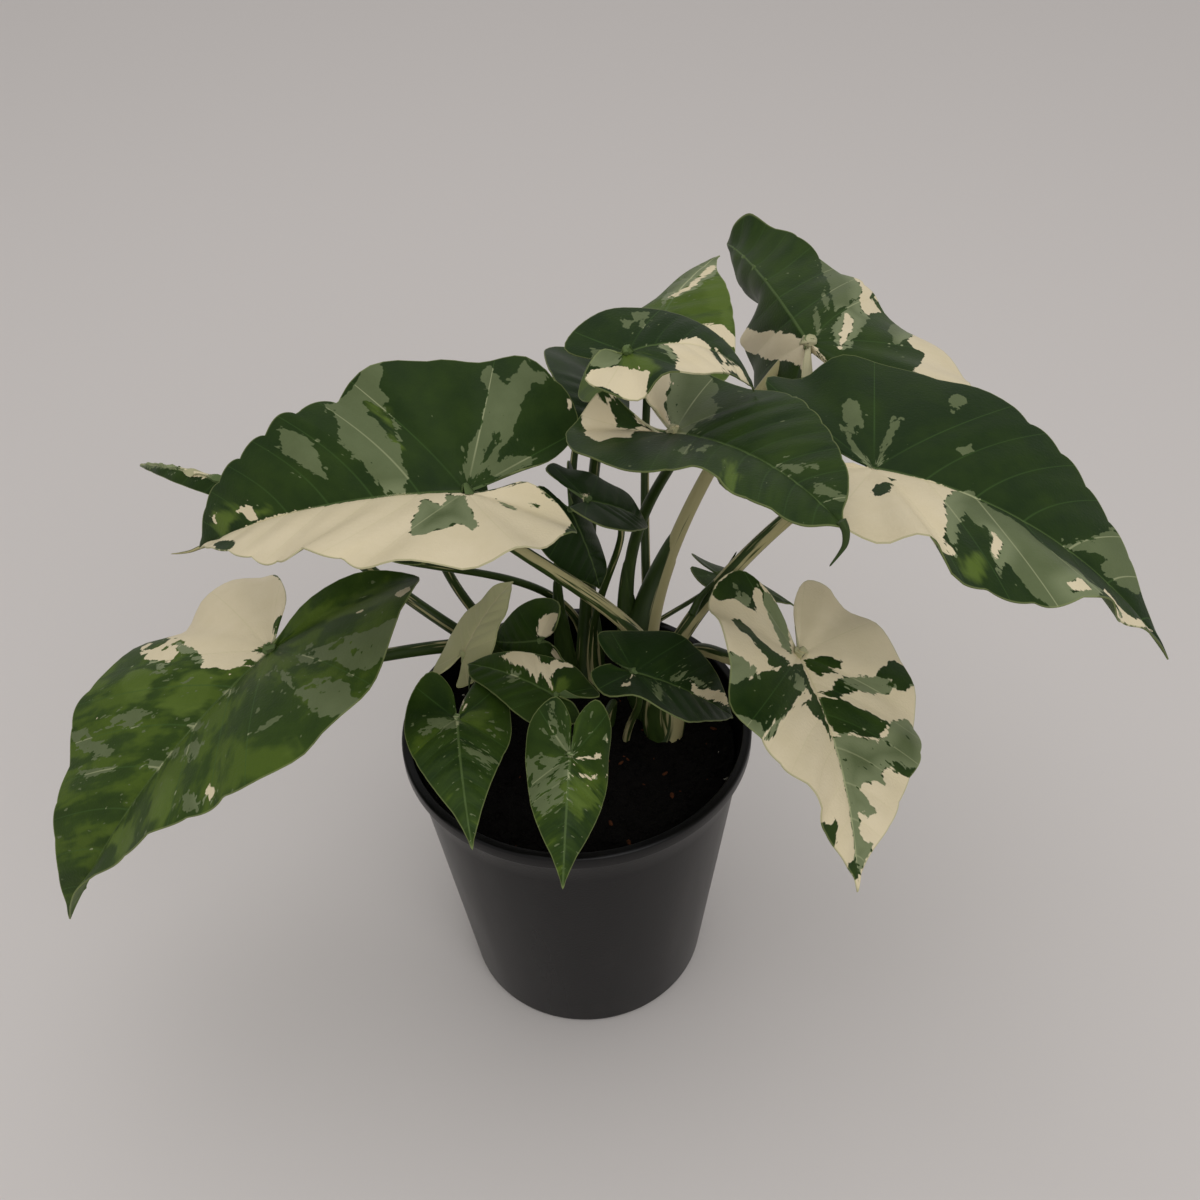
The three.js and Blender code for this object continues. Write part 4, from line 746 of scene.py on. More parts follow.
            (830, 372), (805, 386), (800, 365), (790, 360), (770, 360), (755, 354), (742, 350)]),
        ('silver', [(816, 308), (820, 318), (819, 337), (814, 325)]),
        ('silver', [(823, 293), (828, 300), (826, 310), (822, 300)]),
        ('silver', [(845, 345), (852, 342), (850, 349)]),
    ],
    'leaf_top_back': [
        ('silver', [(663, 306), (668, 290), (680, 282), (700, 266), (718, 252), (722, 262), (716, 270),
            (712, 278), (700, 285), (690, 292), (678, 297), (668, 301)]),
        ('silver', [(680, 280), (682, 268), (695, 264), (705, 268), (693, 275)]),
        ('cream', [(668, 299), (690, 287), (712, 266), (716, 268), (696, 286), (676, 297)]),
        ('lime', [(705, 285), (718, 275), (728, 290), (733, 318), (730, 335), (722, 322), (712, 300)]),
        ('cream', [(704, 326), (716, 324), (722, 325), (735, 337), (736, 352), (730, 345), (724, 339),
            (712, 336), (706, 333), (714, 330)]),
    ],
    'leaf_top_centre': [
        ('silver', [(590, 372), (595, 352), (620, 352), (618, 366), (600, 373)]),
        ('cream', [(585, 392), (590, 372), (605, 372), (618, 366), (640, 372), (650, 372), (648, 392),
            (642, 412), (632, 405), (615, 392), (608, 392)]),
        ('lime', [(620, 352), (650, 360), (650, 372), (625, 368), (620, 366)]),
        ('cream', [(664, 345), (680, 342), (697, 340), (708, 345), (714, 357), (722, 370), (730, 374),
            (700, 378), (685, 374), (677, 369), (678, 358), (672, 350)]),
        ('silver', [(661, 345), (668, 346), (676, 356), (675, 362), (668, 356)]),
        ('cream', [(716, 350), (725, 358), (735, 365), (742, 375), (750, 388), (744, 384), (735, 374),
            (722, 369), (722, 362)]),
        ('green', [(720, 354), (728, 362), (734, 362), (735, 367), (726, 366)]),
        ('silver', [(628, 313), (647, 313), (642, 328), (636, 320)]),
        ('silver', [(622, 320), (628, 322), (629, 330), (625, 329)]),
    ],
    'leaf_inner': [
        ('cream', [(580, 498), (587, 494), (590, 500)]),
    ],
    'young_leaf_front_left': [
        ('silver', [(428, 722), (440, 720), (458, 719), (462, 723), (450, 730), (440, 728)]),
        ('silver', [(420, 730), (434, 730), (432, 734), (422, 736)]),
        ('lime', [(462, 712), (485, 716), (478, 722), (463, 722)]),
        ('silver', [(463, 748), (475, 752), (490, 758), (500, 766), (486, 762), (470, 757)]),
        ('silver', [(493, 728), (502, 730), (503, 732), (494, 731)]),
        ('cream', [(463, 712), (466, 700), (468, 692), (475, 688), (482, 690), (478, 695), (470, 700)]),
    ],
    'young_leaf_front': [
        ('silver', [(548, 715), (552, 715), (555, 725), (562, 735), (568, 748), (570, 756), (560, 745),
            (550, 732)]),
        ('cream', [(578, 758), (590, 757), (602, 754), (598, 759), (585, 760)]),
        ('cream', [(580, 774), (590, 776), (596, 775), (594, 779), (583, 777)]),
        ('cream', [(600, 755), (606, 745), (605, 750)]),
        ('silver', [(525, 760), (540, 757), (560, 760), (568, 775), (560, 800), (545, 815), (530, 800)]),
        ('lime', [(560, 780), (590, 778), (600, 800), (580, 820), (562, 800)]),
    ],
    'young_leaf_centre_left': [
        ('cream', [(500, 657), (515, 651), (530, 651), (538, 657), (541, 665), (548, 664), (556, 661),
            (566, 664), (573, 667), (560, 668), (553, 673), (549, 680), (552, 688), (545, 680), (542, 672),
            (535, 682), (530, 672), (522, 666), (515, 666), (508, 661)]),
        ('silver', [(508, 682), (512, 672), (520, 674), (514, 680)]),
        ('lime', [(555, 675), (566, 680), (566, 690), (560, 697), (552, 690)]),
    ],
    'young_leaf_centre_right': [
        ('cream', [(690, 682), (700, 690), (715, 690), (725, 693), (728, 706), (718, 702), (705, 698),
            (695, 694)]),
        ('silver', [(655, 685), (662, 690), (660, 700), (654, 694)]),
        ('cream', [(621, 687), (630, 682), (633, 676), (628, 688)]),
        ('silver', [(690, 678), (700, 681), (706, 684), (697, 686)]),
        ('silver', [(672, 680), (684, 672), (680, 681)]),
        ('lime', [(592, 684), (605, 690), (598, 696), (590, 690)]),
    ],
    'young_leaf_back': [
        ('cream', [(538, 620), (546, 604), (552, 615), (552, 626), (558, 624), (562, 635), (556, 642),
            (545, 636), (538, 636)]),
        ('cream', [(558, 642), (566, 650), (562, 660), (556, 660), (552, 650)]),
    ],
    'leaf_far_left': [
        ('silver', [(140, 465), (165, 462), (185, 470), (170, 468), (150, 468)]),
        ('cream', [(180, 466), (200, 468), (215, 478), (200, 478), (188, 474)]),
    ],
    'young_leaf_pale': [
        ('cream', [(430, 570), (520, 570), (520, 680), (430, 680)]),
    ],
}

# How each leaf differs: its ground colour, how bright its green is (partly its own green, partly painted
# shade that darkens the leaves deep in the clump), how mottled, how pale its stalk
leafLooks = {
    'leaf_upper_left': dict(toneAndShade=-0.1, mottle=0.25, stalkCream=0.55, scallop=0.045),
    'leaf_lower_left': dict(toneAndShade=0.35, mottle=0.9, stalkCream=0.25, scallop=0.022),
    'leaf_centre': dict(toneAndShade=-0.05, mottle=0.5, stalkCream=0.2, scallop=0.018),
    'leaf_upper_right': dict(toneAndShade=-0.2, mottle=0.15, stalkCream=0.5, scallop=0.032),
    'leaf_lower_right': dict(ground='cream', toneAndShade=-0.1, mottle=0.5, stalkCream=0.6, scallop=0.02),
    'leaf_top_right': dict(toneAndShade=0.05, mottle=0.4, stalkCream=0.98, scallop=0.028),
    'leaf_top_back': dict(toneAndShade=0.6, mottle=0.4, stalkCream=0.3),
    'leaf_top_centre': dict(toneAndShade=-0.3, mottle=0.4, stalkCream=0.35),
    'leaf_back_centre': dict(toneAndShade=-0.3, mottle=0.3, stalkCream=0.3),
    'leaf_inner': dict(toneAndShade=-0.5, mottle=0.2, stalkCream=0.2),
    'leaf_inner_hanging': dict(toneAndShade=-0.7, mottle=0.1, stalkCream=0.2),
    'young_leaf_pale': dict(ground='cream', toneAndShade=1.5, mottle=0.3, stalkCream=0.9),
    'young_leaf_front_left': dict(toneAndShade=0, mottle=0.9, stalkCream=0.3),
    'young_leaf_front': dict(toneAndShade=0, mottle=1.0, stalkCream=0.3),
    'young_leaf_centre_left': dict(toneAndShade=0.1, mottle=0.5, stalkCream=0.5),
    'young_leaf_centre_right': dict(toneAndShade=-0.5, mottle=0.75, stalkCream=0.4),
}
plainLooks = dict(ground='green', toneAndShade=0, mottle=0.3, stalkCream=0.3, scallop=0.01)

# How finely each size of leaf is divided, and how many side veins it has
fineness = {
    'large': dict(lobeRows=34, ribRows=92, columns=50, ribVeins=6, lobeVeins=3, rings=60, sides=18),
    'middle': dict(lobeRows=22, ribRows=54, columns=28, ribVeins=5, lobeVeins=2, rings=40, sides=14),
    'plain': dict(lobeRows=18, ribRows=40, columns=22, ribVeins=5, lobeVeins=2, rings=36, sides=12),
}

blade = dict(
    thickness=0.75, lobeShare=0.4, halfWidthShare=0.45,  # the last two are shares of the length
    edgeSamples=40, evenShare=0.65,
    veinSlope=0.75, veinBow=0.12, bowStart=30,  # how the side veins lean to the tip and bow
    pucker=0.85, puckerPower=0.7, fullPucker=14,  # the tissue swells between the side veins
    veinGroove=0.28, veinGrooveWidth=0.9, ribGroove=0.5, ribGrooveWidth=1.5,
    ribHalfWidth=2.4, ribDrop=1.2, ribThin=0.3, veinDrop=0.45,  # the rib and side veins below
    scallopPower=0.8, scallopFrom=4, scallopFull=24,  # the edge swells out between the side veins
    tipDraw=0.3, tipAt=0.93, tipSpan=0.05,  # the flanks draw in just before the tip
    grainStep=14, leafStep=40, sideStep=9,  # these set the grain of veins, leaves and sides apart
)


def sizeClass(leaf):
    if 'width' in leaf:
        return 'plain'
    return 'large' if len(leaf['left']) > 10 else 'middle'


def unit(vectors):
    return vectors / (np.linalg.norm(vectors, axis=-1, keepdims=True) + 1e-9)


def leafAxes(leaf):
    heading, rise, roll = np.radians([leaf['heading'], leaf['rise'], leaf['roll']])
    along = np.array([np.cos(rise) * np.cos(heading), np.cos(rise) * np.sin(heading), np.sin(rise)])
    level = np.array([-np.sin(heading), np.cos(heading), 0])
    left = np.cos(roll) * level + np.sin(roll) * np.cross(along, level)
    return along, left, np.cross(along, left)


# The place of points of the blade in space; side is 1 to the left of the rib and -1 to the right
def bladePoints(leaf, side, x, y, lift):
    along, left, out = leafAxes(leaf)
    length, halfWidth = leaf['length'], blade['halfWidthShare'] * leaf['length']
    index = 0 if side > 0 else 1
    droop = math.radians(leaf['droop']) or 1e-4
    back = math.radians(-leaf['back']) or 1e-4
    fold = math.radians(leaf['fold'][index])
    curl = math.radians(leaf['curl'][index]) or 1e-4
    span = np.where(x >= 0, length, blade['lobeShare'] * length)
    bend = np.where(x >= 0, droop, back)
    angle = bend * x / span
    run = span / bend * np.sin(angle)
    drop = span / bend * (1 - np.cos(angle))
    tilt = fold + curl * y / halfWidth
    reach = halfWidth / curl * (np.sin(tilt) - np.sin(fold)) + lift * np.sin(tilt)
    height = -halfWidth / curl * (np.cos(fold) - np.cos(tilt)) + lift * np.cos(tilt)
    sway = np.where(x > 0, math.radians(leaf['sway']) * x * x / (2 * length), 0)
    return (np.array(leaf['at']) + (run + height * np.sin(angle))[..., None] * along
            + (side * reach + sway)[..., None] * left + (-drop + height * np.cos(angle))[..., None] * out)


def smoothThrough(points, samples):
    points = np.array(points, float)
    points = np.vstack([2 * points[0] - points[1], points, 2 * points[-1] - points[-2]])
    t = np.linspace(0, 1, samples, endpoint=False)[:, None]
    spans = []
    for a, b, c, d in zip(points, points[1:], points[2:], points[3:]):
        spans.append(0.5 * (2 * b + (c - a) * t + (2 * a - 5 * b + 4 * c - d) * t ** 2
                            + (3 * b - a - 3 * c + d) * t ** 3))
    return np.vstack(spans + [points[-2:-1]])


def leafEdge(leaf, side, samples):
    if 'width' in leaf:
        length, share = leaf['length'], leaf['width'][0 if side > 0 else 1]
        outline = [(x * length, y * length * share, 0) for x, y in plainOutline]
    else:
        outline = [(x, abs(y), lift) for x, y, lift in leaf['left' if side > 0 else 'right']]
    return smoothThrough(outline, samples)


# Points at shares of the way out along side veins that leave the rib at foot and end at the edge
def veinPoints(foot, end, reach, share):
    bow = np.outer(4 * share * (1 - share), blade['veinBow'] * reach * foot / (foot + blade['bowStart']))
    x = foot + np.outer(share, end[:, 0] - foot) - bow
    return x, np.outer(share, reach), np.outer(share ** 2, end[:, 2])


# Each row of one side: where it leaves the rib, where it meets the edge, and the vein number there
def bladeRows(leaf, side):
    fine = fineness[sizeClass(leaf)]
    length = leaf['length']
    edge = leafEdge(leaf, side, blade['edgeSamples'])
    order = np.arange(len(edge))
    feet = edge[:, 0] - blade['veinSlope'] * np.maximum(edge[:, 1], 0)
    feet = np.minimum.accumulate(feet[::-1])[::-1] + order * 1e-7
    lobeEnd = np.interp(0, feet, order)
    lobe = np.linspace(0, lobeEnd, fine['lobeRows'] + 1)
    foot = np.linspace(0, length, fine['ribRows'] + 1)[1:]
    places = np.concatenate([lobe, np.interp(foot, feet, order)])
    places[-1] = order[-1]
    end = np.stack([np.interp(places, order, edge[:, i]) for i in range(3)], 1)
    foot = np.concatenate([np.zeros(len(lobe)), foot])
    vein = np.concatenate([(lobe / lobeEnd - 1) * fine['lobeVeins'],
                           foot[len(lobe):] / length * (fine['ribVeins'] + 1)])
    return foot, end, vein


# The photograph in pixels, and in millimetres and degrees the camera that makes the pot's rim and foot fit it
photo = dict(pixels=1200, cameraAt=(16, -486, 685.5), pitch=39.7, roll=-2.13, lens=36, sensor=36)


def cameraAxes():
    pitch, roll = math.radians(photo['pitch']), math.radians(photo['roll'])
    forward = np.array([0, math.cos(pitch), -math.sin(pitch)])
    right = np.array([1, 0, 0])
    up = np.cross(right, forward)
    across = math.cos(roll) * right + math.sin(roll) * up
    upward = -math.sin(roll) * right + math.cos(roll) * up
    return across, upward, forward


def photoPoints(places):
    across, upward, forward = cameraAxes()
    sight = places - np.array(photo['cameraAt'])
    scale = photo['pixels'] * photo['lens'] / photo['sensor'] / (sight @ forward)
    return photo['pixels'] / 2 + np.stack([scale * (sight @ across), -scale * (sight @ upward)], -1)


# How a traced point is laid on its leaf: samples of the edge, steps along each side vein, how far past the
# edge they go, how many near points are used, and how far in millimetres these and the result may lie apart
tracing = dict(edgeSamples=30, steps=80, past=1.06, near=40, spread=12, farthest=10)


# A traced point goes to the nearest known point of the blade, then on by the slope there, and is rounded to
# whole millimetres. The lobes were traced on a blade that bends them the other way, so back is turned round.
def markingOutlines(leaf, traced):
    leaf = {**leaf, 'back': -leaf['back']}
    xs, ys, pixels = [], [], []
    share = np.linspace(0, tracing['past'], tracing['steps'])
    for side in (1, -1):
        edge = leafEdge(leaf, side, tracing['edgeSamples'])
        reach = np.maximum(edge[:, 1], 0)
        foot = np.clip(edge[:, 0] - blade['veinSlope'] * reach, 0, leaf['length'])
        x, y, lift = veinPoints(foot, edge, reach, share)
        xs.append(x.ravel())
        ys.append(side * y.ravel())
        pixels.append(photoPoints(bladePoints(leaf, side, x, y, lift)).reshape(-1, 2))
    flat, pixels = np.stack([np.concatenate(xs), np.concatenate(ys)], 1), np.concatenate(pixels)
    for colour, outline in traced:
        points = []
        for pixel in outline:
            order = np.argsort(np.hypot(*(pixels - pixel).T), kind='stable')[:tracing['near']]
            first = order[0]
            near = order[(np.abs(flat[order] - flat[first]) < tracing['spread']).all(1)]
            slope = np.linalg.lstsq(np.column_stack([pixels[near] - pixels[first], np.ones(len(near))]),
                                    flat[near], rcond=1e-3)[0]
            step = np.append(pixel - pixels[first], 1) @ slope - flat[first]
            step *= min(1, tracing['farthest'] / max(np.hypot(*step), 1e-9))
            point = tuple(np.rint(flat[first] + step).astype(int).tolist())
            if not points or point != points[-1]:
                points.append(point)
        yield colour, points


# How far a point lies inside an outline, negative outside
def insideDistance(x, y, outline):
    best = np.full(x.shape, 1e9)
    inside = np.zeros(x.shape, bool)
    for (ax, ay), (bx, by) in zip(outline, outline[1:] + outline[:1]):
        ex, ey = bx - ax, by - ay
        t = np.clip(((x - ax) * ex + (y - ay) * ey) / max(ex * ex + ey * ey, 1e-9), 0, 1)
        best = np.minimum(best, np.hypot(x - ax - t * ex, y - ay - t * ey))
        if ay != by:
            inside ^= ((ay > y) != (by > y)) & (x < ex * (y - ay) / ey + ax)
    return np.where(inside, best, -best)


def markingFields(name, leaf, looks, x, y):
    limit = leafFinish['fieldLimit']
    fields = {colour: np.full(x.shape, -limit, float) for colour in ('lime', 'silver', 'cream')}
    if looks['ground'] in fields:
        fields[looks['ground']][:] = limit
    for colour, outline in markingOutlines(leaf, tracedMarkings.get(name, [])):
        distance = np.clip(insideDistance(x, y, outline), -limit, limit)
        for other in fields:
            if other == colour:
                fields[other] = np.maximum(fields[other], distance)
            else:
                fields[other] = np.minimum(fields[other], -distance)
    return {colour + 'Field': field for colour, field in fields.items()}


def bladeSide(leaf, looks, number, side, share):
    length = leaf['length']
    foot, end, vein = bladeRows(leaf, side)
    reach = np.maximum(end[:, 1], 0)
    scallop = looks['scallop'] * (2 * np.abs(np.cos(np.pi * vein)) ** blade['scallopPower'] - 1.2)
    wide = np.clip((reach - blade['scallopFrom']) / (blade['scallopFull'] - blade['scallopFrom']), 0, 1)
    bulge = 1 + scallop * np.outer(share ** 3, wide)
    fromTip = (foot / length - blade['tipAt']) / blade['tipSpan']
    reach = reach * (1 - blade['tipDraw'] * np.exp(-fromTip ** 2))
    x, y, lift = veinPoints(foot, end, reach, share)
    y = y * bulge
    middle = bladePoints(leaf, side, x, y, lift)
    outStep, rowStep = np.gradient(middle, axis=0), np.gradient(middle, axis=1)
    across = rowStep / (np.gradient(vein)[None, :, None] + 1e-9)
    step = unit(outStep)
    spacing = np.linalg.norm(across - (across * step).sum(2, keepdims=True) * step, axis=2)
    outward = unit(np.cross(rowStep, outStep) * side)
    toVein = np.abs((vein + 0.5) % 1 - 0.5) * spacing
    toRib = np.hypot(y, np.minimum(x, 0))
    between = (0.5 - np.cos(2 * np.pi * vein) / 2) * np.minimum(spacing / blade['fullPucker'], 1)
    relief = blade['pucker'] * between * np.clip(np.sin(np.pi * share), 0, 1)[:, None] ** blade['puckerPower']
    relief -= blade['veinGroove'] * np.exp(-(toVein / blade['veinGrooveWidth']) ** 2) * (1 - share)[:, None]
    relief -= blade['ribGroove'] * np.exp(-(toRib / blade['ribGrooveWidth']) ** 2) * (1 - foot / length)
    veinLength = np.hypot(end[:, 0] - foot, end[:, 1])
    grain = (vein + blade['leafStep'] * number + blade['sideStep'] * side) * blade['grainStep']
    side2d = dict(
        place=middle + relief[..., None] * outward, x=x, y=side * y, veinIndex=vein, veinSpacing=spacing,
        ribDistance=toRib, edgeDistance=np.outer(1 - share, veinLength), outShare=share[:, None],
        ribTaper=np.clip(1 - foot / length, 0, 1) * min(1, 0.3 + length / 160), grain=grain,
        veinWay=np.outer(share, veinLength), toneAndShade=looks['toneAndShade'], mottle=looks['mottle'])
    return {key: value if key == 'place' else value * np.ones(x.shape) for key, value in side2d.items()}


def bladePiece(name, leaf, looks, number):
    even = np.linspace(0, 1, fineness[sizeClass(leaf)]['columns'] + 1)
    share = blade['evenShare'] * even + (1 - blade['evenShare']) * even ** 2  # closer together at the rib
    left, right = [bladeSide(leaf, looks, number, side, share) for side in (1, -1)]
    whole = {key: np.concatenate([left[key][::-1], right[key][1:]]).swapaxes(0, 1) for key in left}
    place, x, y, grain, veinWay = [whole.pop(key) for key in ('place', 'x', 'y', 'grain', 'veinWay')]
    whole.update(markingFields(name, leaf, looks, x, y))
    piece = shapeGrid(name + 'Blade', place, np.stack([grain, veinWay], 2), whole)
    piece.data.materials.append(upperFace)
    piece.data.materials.append(underFace)
    upperCount = len(piece.data.vertices)
    applyModifier(piece, 'SOLIDIFY', thickness=blade['thickness'] * mm, offset=0, use_rim=True,
                  material_offset=1, material_offset_rim=0, use_quality_normals=True)
    shapeRib(piece, upperCount, leaf)
    return piece


# The rib stands out below, half round, and thins to the tip; the side veins stand out less
def shapeRib(piece, upperCount, leaf):
    mesh = piece.data
    read = {}
    for key in ('ribDistance', 'ribTaper', 'veinIndex', 'veinSpacing', 'outShare'):
        read[key] = np.zeros(len(mesh.vertices), np.float32)
        mesh.attributes[key].data.foreach_get('value', read[key])
    places, normals = [np.zeros(len(mesh.vertices) * 3) for _ in range(2)]
    mesh.vertices.foreach_get('co', places)
    mesh.vertices.foreach_get('normal', normals)
    width = blade['ribHalfWidth'] * (read['ribTaper'] + blade['ribThin'])
    depth = blade['ribDrop'] * leaf['stalkRadius'][1] * read['ribTaper']
    stand = depth * np.sqrt(np.clip(1 - (read['ribDistance'] / width) ** 2, 0, 1))
    toVein = np.abs((read['veinIndex'] + 0.5) % 1 - 0.5) * read['veinSpacing']
    stand += blade['veinDrop'] * np.exp(-(toVein / blade['veinGrooveWidth']) ** 2) * (1 - read['outShare'])
    stand[:upperCount] = 0
    places += np.repeat(stand * mm, 3) * normals
    mesh.vertices.foreach_set('co', places)


# The stalk: distances from its end are in millimetres; those that follow its thickness are in tip radii
stalk = dict(
    startInCrown=20, startInSoil=-16, closed=0.01,
    headDepth=0.6, capAt=(0.3, 0.6, 0.7), capRadii=(0.5, 0.3, 0.01),
    taperAt=(25, 6), taperTo=0.65, greenAt=(22, 8),
    sink=1.5, sinkAt=(34, 20, 6), sinkShares=(0, 0.35, 1), headReach=8, underBlade=1.1,
    grainTurn=3, grainStep=300,
)
sideways = (0.3, 1, 0.1)  # no stalk runs this way, so a ring can be turned by it


# A tube that follows a list of centres; lengths are how far along its grain each ring lies
def tubePiece(name, centres, radii, sides, lengths, values):
    tangent = unit(np.gradient(centres, axis=0))
    first = unit(np.cross(tangent, sideways))
    second = np.cross(tangent, first)
    turn = np.linspace(0, 2 * np.pi, sides + 1)
    ring = np.cos(turn)[:, None] * first[:, None] + np.sin(turn)[:, None] * second[:, None]
    places = centres[:, None] + radii[:, None, None] * ring
    uvs = np.stack(np.broadcast_arrays(turn * stalk['grainTurn'], lengths[:, None]), 2)
    values = {key: np.broadcast_to(value, places.shape[:2]) for key, value in values.items()}
    return shapeGrid(name, places, uvs, values)


def stalkCurve(leaf, shares):
    out = leafAxes(leaf)[2]
    root, low, high = [np.array(point, float) for point in leaf['stalk']]
    end = np.array(leaf['at']) - stalk['headDepth'] * leaf['stalkRadius'][1] * out
    t = np.asarray(shares)[:, None]
    return root * (1 - t) ** 3 + 3 * low * t * (1 - t) ** 2 + 3 * high * t * t * (1 - t) + end * t ** 3


# Centres and radii of the stalk at given distances from its root, straight on past its ends, and its length
def stalkAt(leaf, distances):
    points = stalkCurve(leaf, np.linspace(0, 1, 200))
    walked = np.concatenate([[0], np.cumsum(np.linalg.norm(np.diff(points, axis=0), axis=1))])
    centres = np.stack([np.interp(distances, walked, points[:, i]) for i in range(3)], 1)
    startWay = (points[1] - points[0]) / (walked[1] - walked[0])
    endWay = (points[-1] - points[-2]) / (walked[-1] - walked[-2])
    centres += np.minimum(distances, 0)[:, None] * startWay
    centres += np.maximum(distances - walked[-1], 0)[:, None] * endWay
    radii = np.interp(distances, [0, walked[-1]], leaf['stalkRadius'])
    return centres, radii, walked[-1]


def stalkPiece(name, leaf, looks, number):
    length = stalkAt(leaf, np.zeros(1))[2]
    start = stalk['startInCrown'] if leaf['crown'] else stalk['startInSoil']
    fine, tip, out = fineness[sizeClass(leaf)], leaf['stalkRadius'][1], leafAxes(leaf)[2]
    distances = np.concatenate([
        [start - 0.1], np.linspace(start, length, fine['rings']), length + tip * np.array(stalk['capAt'])])
    centres, radii, _ = stalkAt(leaf, distances)
    radii[0] = stalk['closed']
    radii *= np.interp(distances, length - np.array(stalk['taperAt']), [1, stalk['taperTo']])
    radii[-3:] = tip * np.array(stalk['capRadii'])
    sink = stalk['sink'] * tip * np.interp(distances, length - np.array(stalk['sinkAt']), stalk['sinkShares'])
    centres = centres - sink[:, None] * out
    headGreen = np.interp(distances, length - np.array(stalk['greenAt']), [1, 0])
    values = dict(stalkCream=(looks['stalkCream'] * headGreen)[:, None])
    lengths = distances + stalk['grainStep'] * number
    piece = tubePiece(name + 'Stalk', centres, radii, fine['sides'], lengths, values)
    for vertex in piece.data.vertices:  # the stalk's head stays under the blade
        fromHead = np.array(vertex.co) / mm - leaf['at']
        if np.linalg.norm(fromHead) < stalk['headReach'] * tip:
            x, y, height = [fromHead @ axis for axis in leafAxes(leaf)]
            side = 1 if y > 0 else -1
            above = bladePoints(leaf, side, np.array([x]), np.array([abs(y)]), np.zeros(1))[0] - leaf['at']
            low = min(0, above @ out - stalk['underBlade'] - height)
            vertex.co = (leaf['at'] + fromHead + low * out) * mm
    piece.data.materials.append(stalkSkin)
    return piece


# Each sheath: how far up the stalk it runs, how thick its foot is, how far its loose edge stands off and to
# which side, how far its point runs past its open side, and how creamy it is
sheaths = {
    'leaf_top_right': dict(length=112, swell=2.2, wing=11, side=0.1, point=12, cream=0),
    'leaf_upper_left': dict(length=74, swell=8, wing=3, side=2.2, point=26, cream=0.38),
    'leaf_upper_right': dict(length=66, swell=6, wing=2, side=1.2, point=20, cream=0.38),
    'leaf_centre': dict(length=88, swell=4.5, wing=4, side=0.6, point=20, cream=0.15),
    'leaf_lower_left': dict(length=60, swell=4.5, wing=4, side=3.4, point=30, cream=0.2),
    'leaf_top_centre': dict(length=86, swell=4, wing=3, side=1.4, point=30, cream=0.3),
    'leaf_back_centre': dict(length=74, swell=4, wing=3, side=4, point=20, cream=0.1),
    'leaf_inner_hanging': dict(length=70, swell=4.5, wing=5, side=0.2, point=20, cream=0.1),
}
plainSheath = dict(length=42, swell=3.4, wing=0, side=0.6, point=17, cream=0.4)
sheathShape = dict(
    wall=0.7, foot=-12, thinning=1.8, wingRound=0.8, wingNarrow=0.45, wrap=0.2, sides=36, rows=30,
    grainTurn=5, grainStep=31, grainStart=500,
)


def sheathPiece(name, leaf, looks, number):
    sheath, shape = sheaths.get(name, plainSheath), sheathShape
    turn = np.linspace(0, 2 * np.pi, shape['sides'] + 1)
    toSide = np.cos(turn - sheath['side'])
    share = np.linspace(0, 1, shape['rows'])[:, None]
    top = sheath['length'] + sheath['point'] * np.clip(toSide, -0.3, 1)
    distance = shape['foot'] + share * (top - shape['foot'])
    centres, radii, _ = stalkAt(leaf, distance.ravel())
    thinner = (1 - np.clip(distance / sheath['length'], 0, 1)) ** shape['thinning']
    thick = shape['wall'] + (sheath['swell'] - shape['wall']) * thinner
    stand = np.sin(np.pi * np.clip(share * 1.02, 0, 1)) ** shape['wingRound']
    stand = stand * (1 - shape['wingNarrow'] * share)
    thick = thick + sheath['wing'] * stand * np.clip(toSide, 0, 1) ** 2
    thick[-1] = -0.1  # its upper end closes into the stalk
    foot, end = stalkAt(leaf, np.array([0, sheath['length']]))[0]
    tangent = unit(end - foot)
    first = unit(np.cross(tangent, sideways))
    second = np.cross(tangent, first)
    ring = np.cos(turn)[:, None] * first + np.sin(turn)[:, None] * second
    reach = radii.reshape(distance.shape) + thick
    places = centres.reshape(*distance.shape, 3) + reach[..., None] * ring
    grain = np.broadcast_to(turn * shape['grainTurn'] + shape['grainStep'] * number, distance.shape)
    wrapped = np.clip(2 * np.cos(turn - sheath['side'] - shape['wrap']), 0, 1) * np.ones(distance.shape)
    cream = looks['stalkCream'] + (sheath['cream'] - looks['stalkCream']) * wrapped
    piece = shapeGrid('sheath', places, np.stack([grain, distance + shape['grainStart']], 2),
                      dict(stalkCream=cream))
    piece.data.materials.append(stalkSkin)
    return piece


# Threads: the drip tips that three of the leaves end in, and the spear of a leaf still rolled up on a stalk
threads = {
    'leaf_upper_left': dict(
        line=[[-188, 20, 313], [-193, 20, 311], [-198, 20, 309], [-204, 20, 308], [-209, 21, 307]],
        width=1.3, cream=0.6),
    'leaf_centre': dict(
        line=[[112, -104, 405], [114, -106, 401], [114, -108, 396], [112, -109, 392], [108, -111, 387]],
        width=2.2, cream=0.1),
    'young_leaf_centre_left': dict(
        line=[[-51, -22, 258], [-54, -25, 252], [-55, -28, 245]],
        width=1.2, cream=0.1),
    'leaf_upper_right': dict(
        line=[[64, 0, 268], [70, 7, 276], [79, 12, 283], [85, 17, 288], [90, 22, 294]],
        width=2.4, cream=0.1),
}
threadShape = dict(samples=8, endShare=0.15, sides=10, grainLength=40)


def threadPiece(thread):
    line = smoothThrough(thread['line'], threadShape['samples'])
    radii = thread['width'] * np.linspace(1, threadShape['endShare'], len(line))
    radii[[0, -1]] = stalk['closed']
    lengths = np.linspace(0, threadShape['grainLength'], len(line))
    piece = tubePiece('thread', line, radii, threadShape['sides'], lengths, dict(stalkCream=thread['cream']))
    piece.data.materials.append(stalkSkin)
    return piece


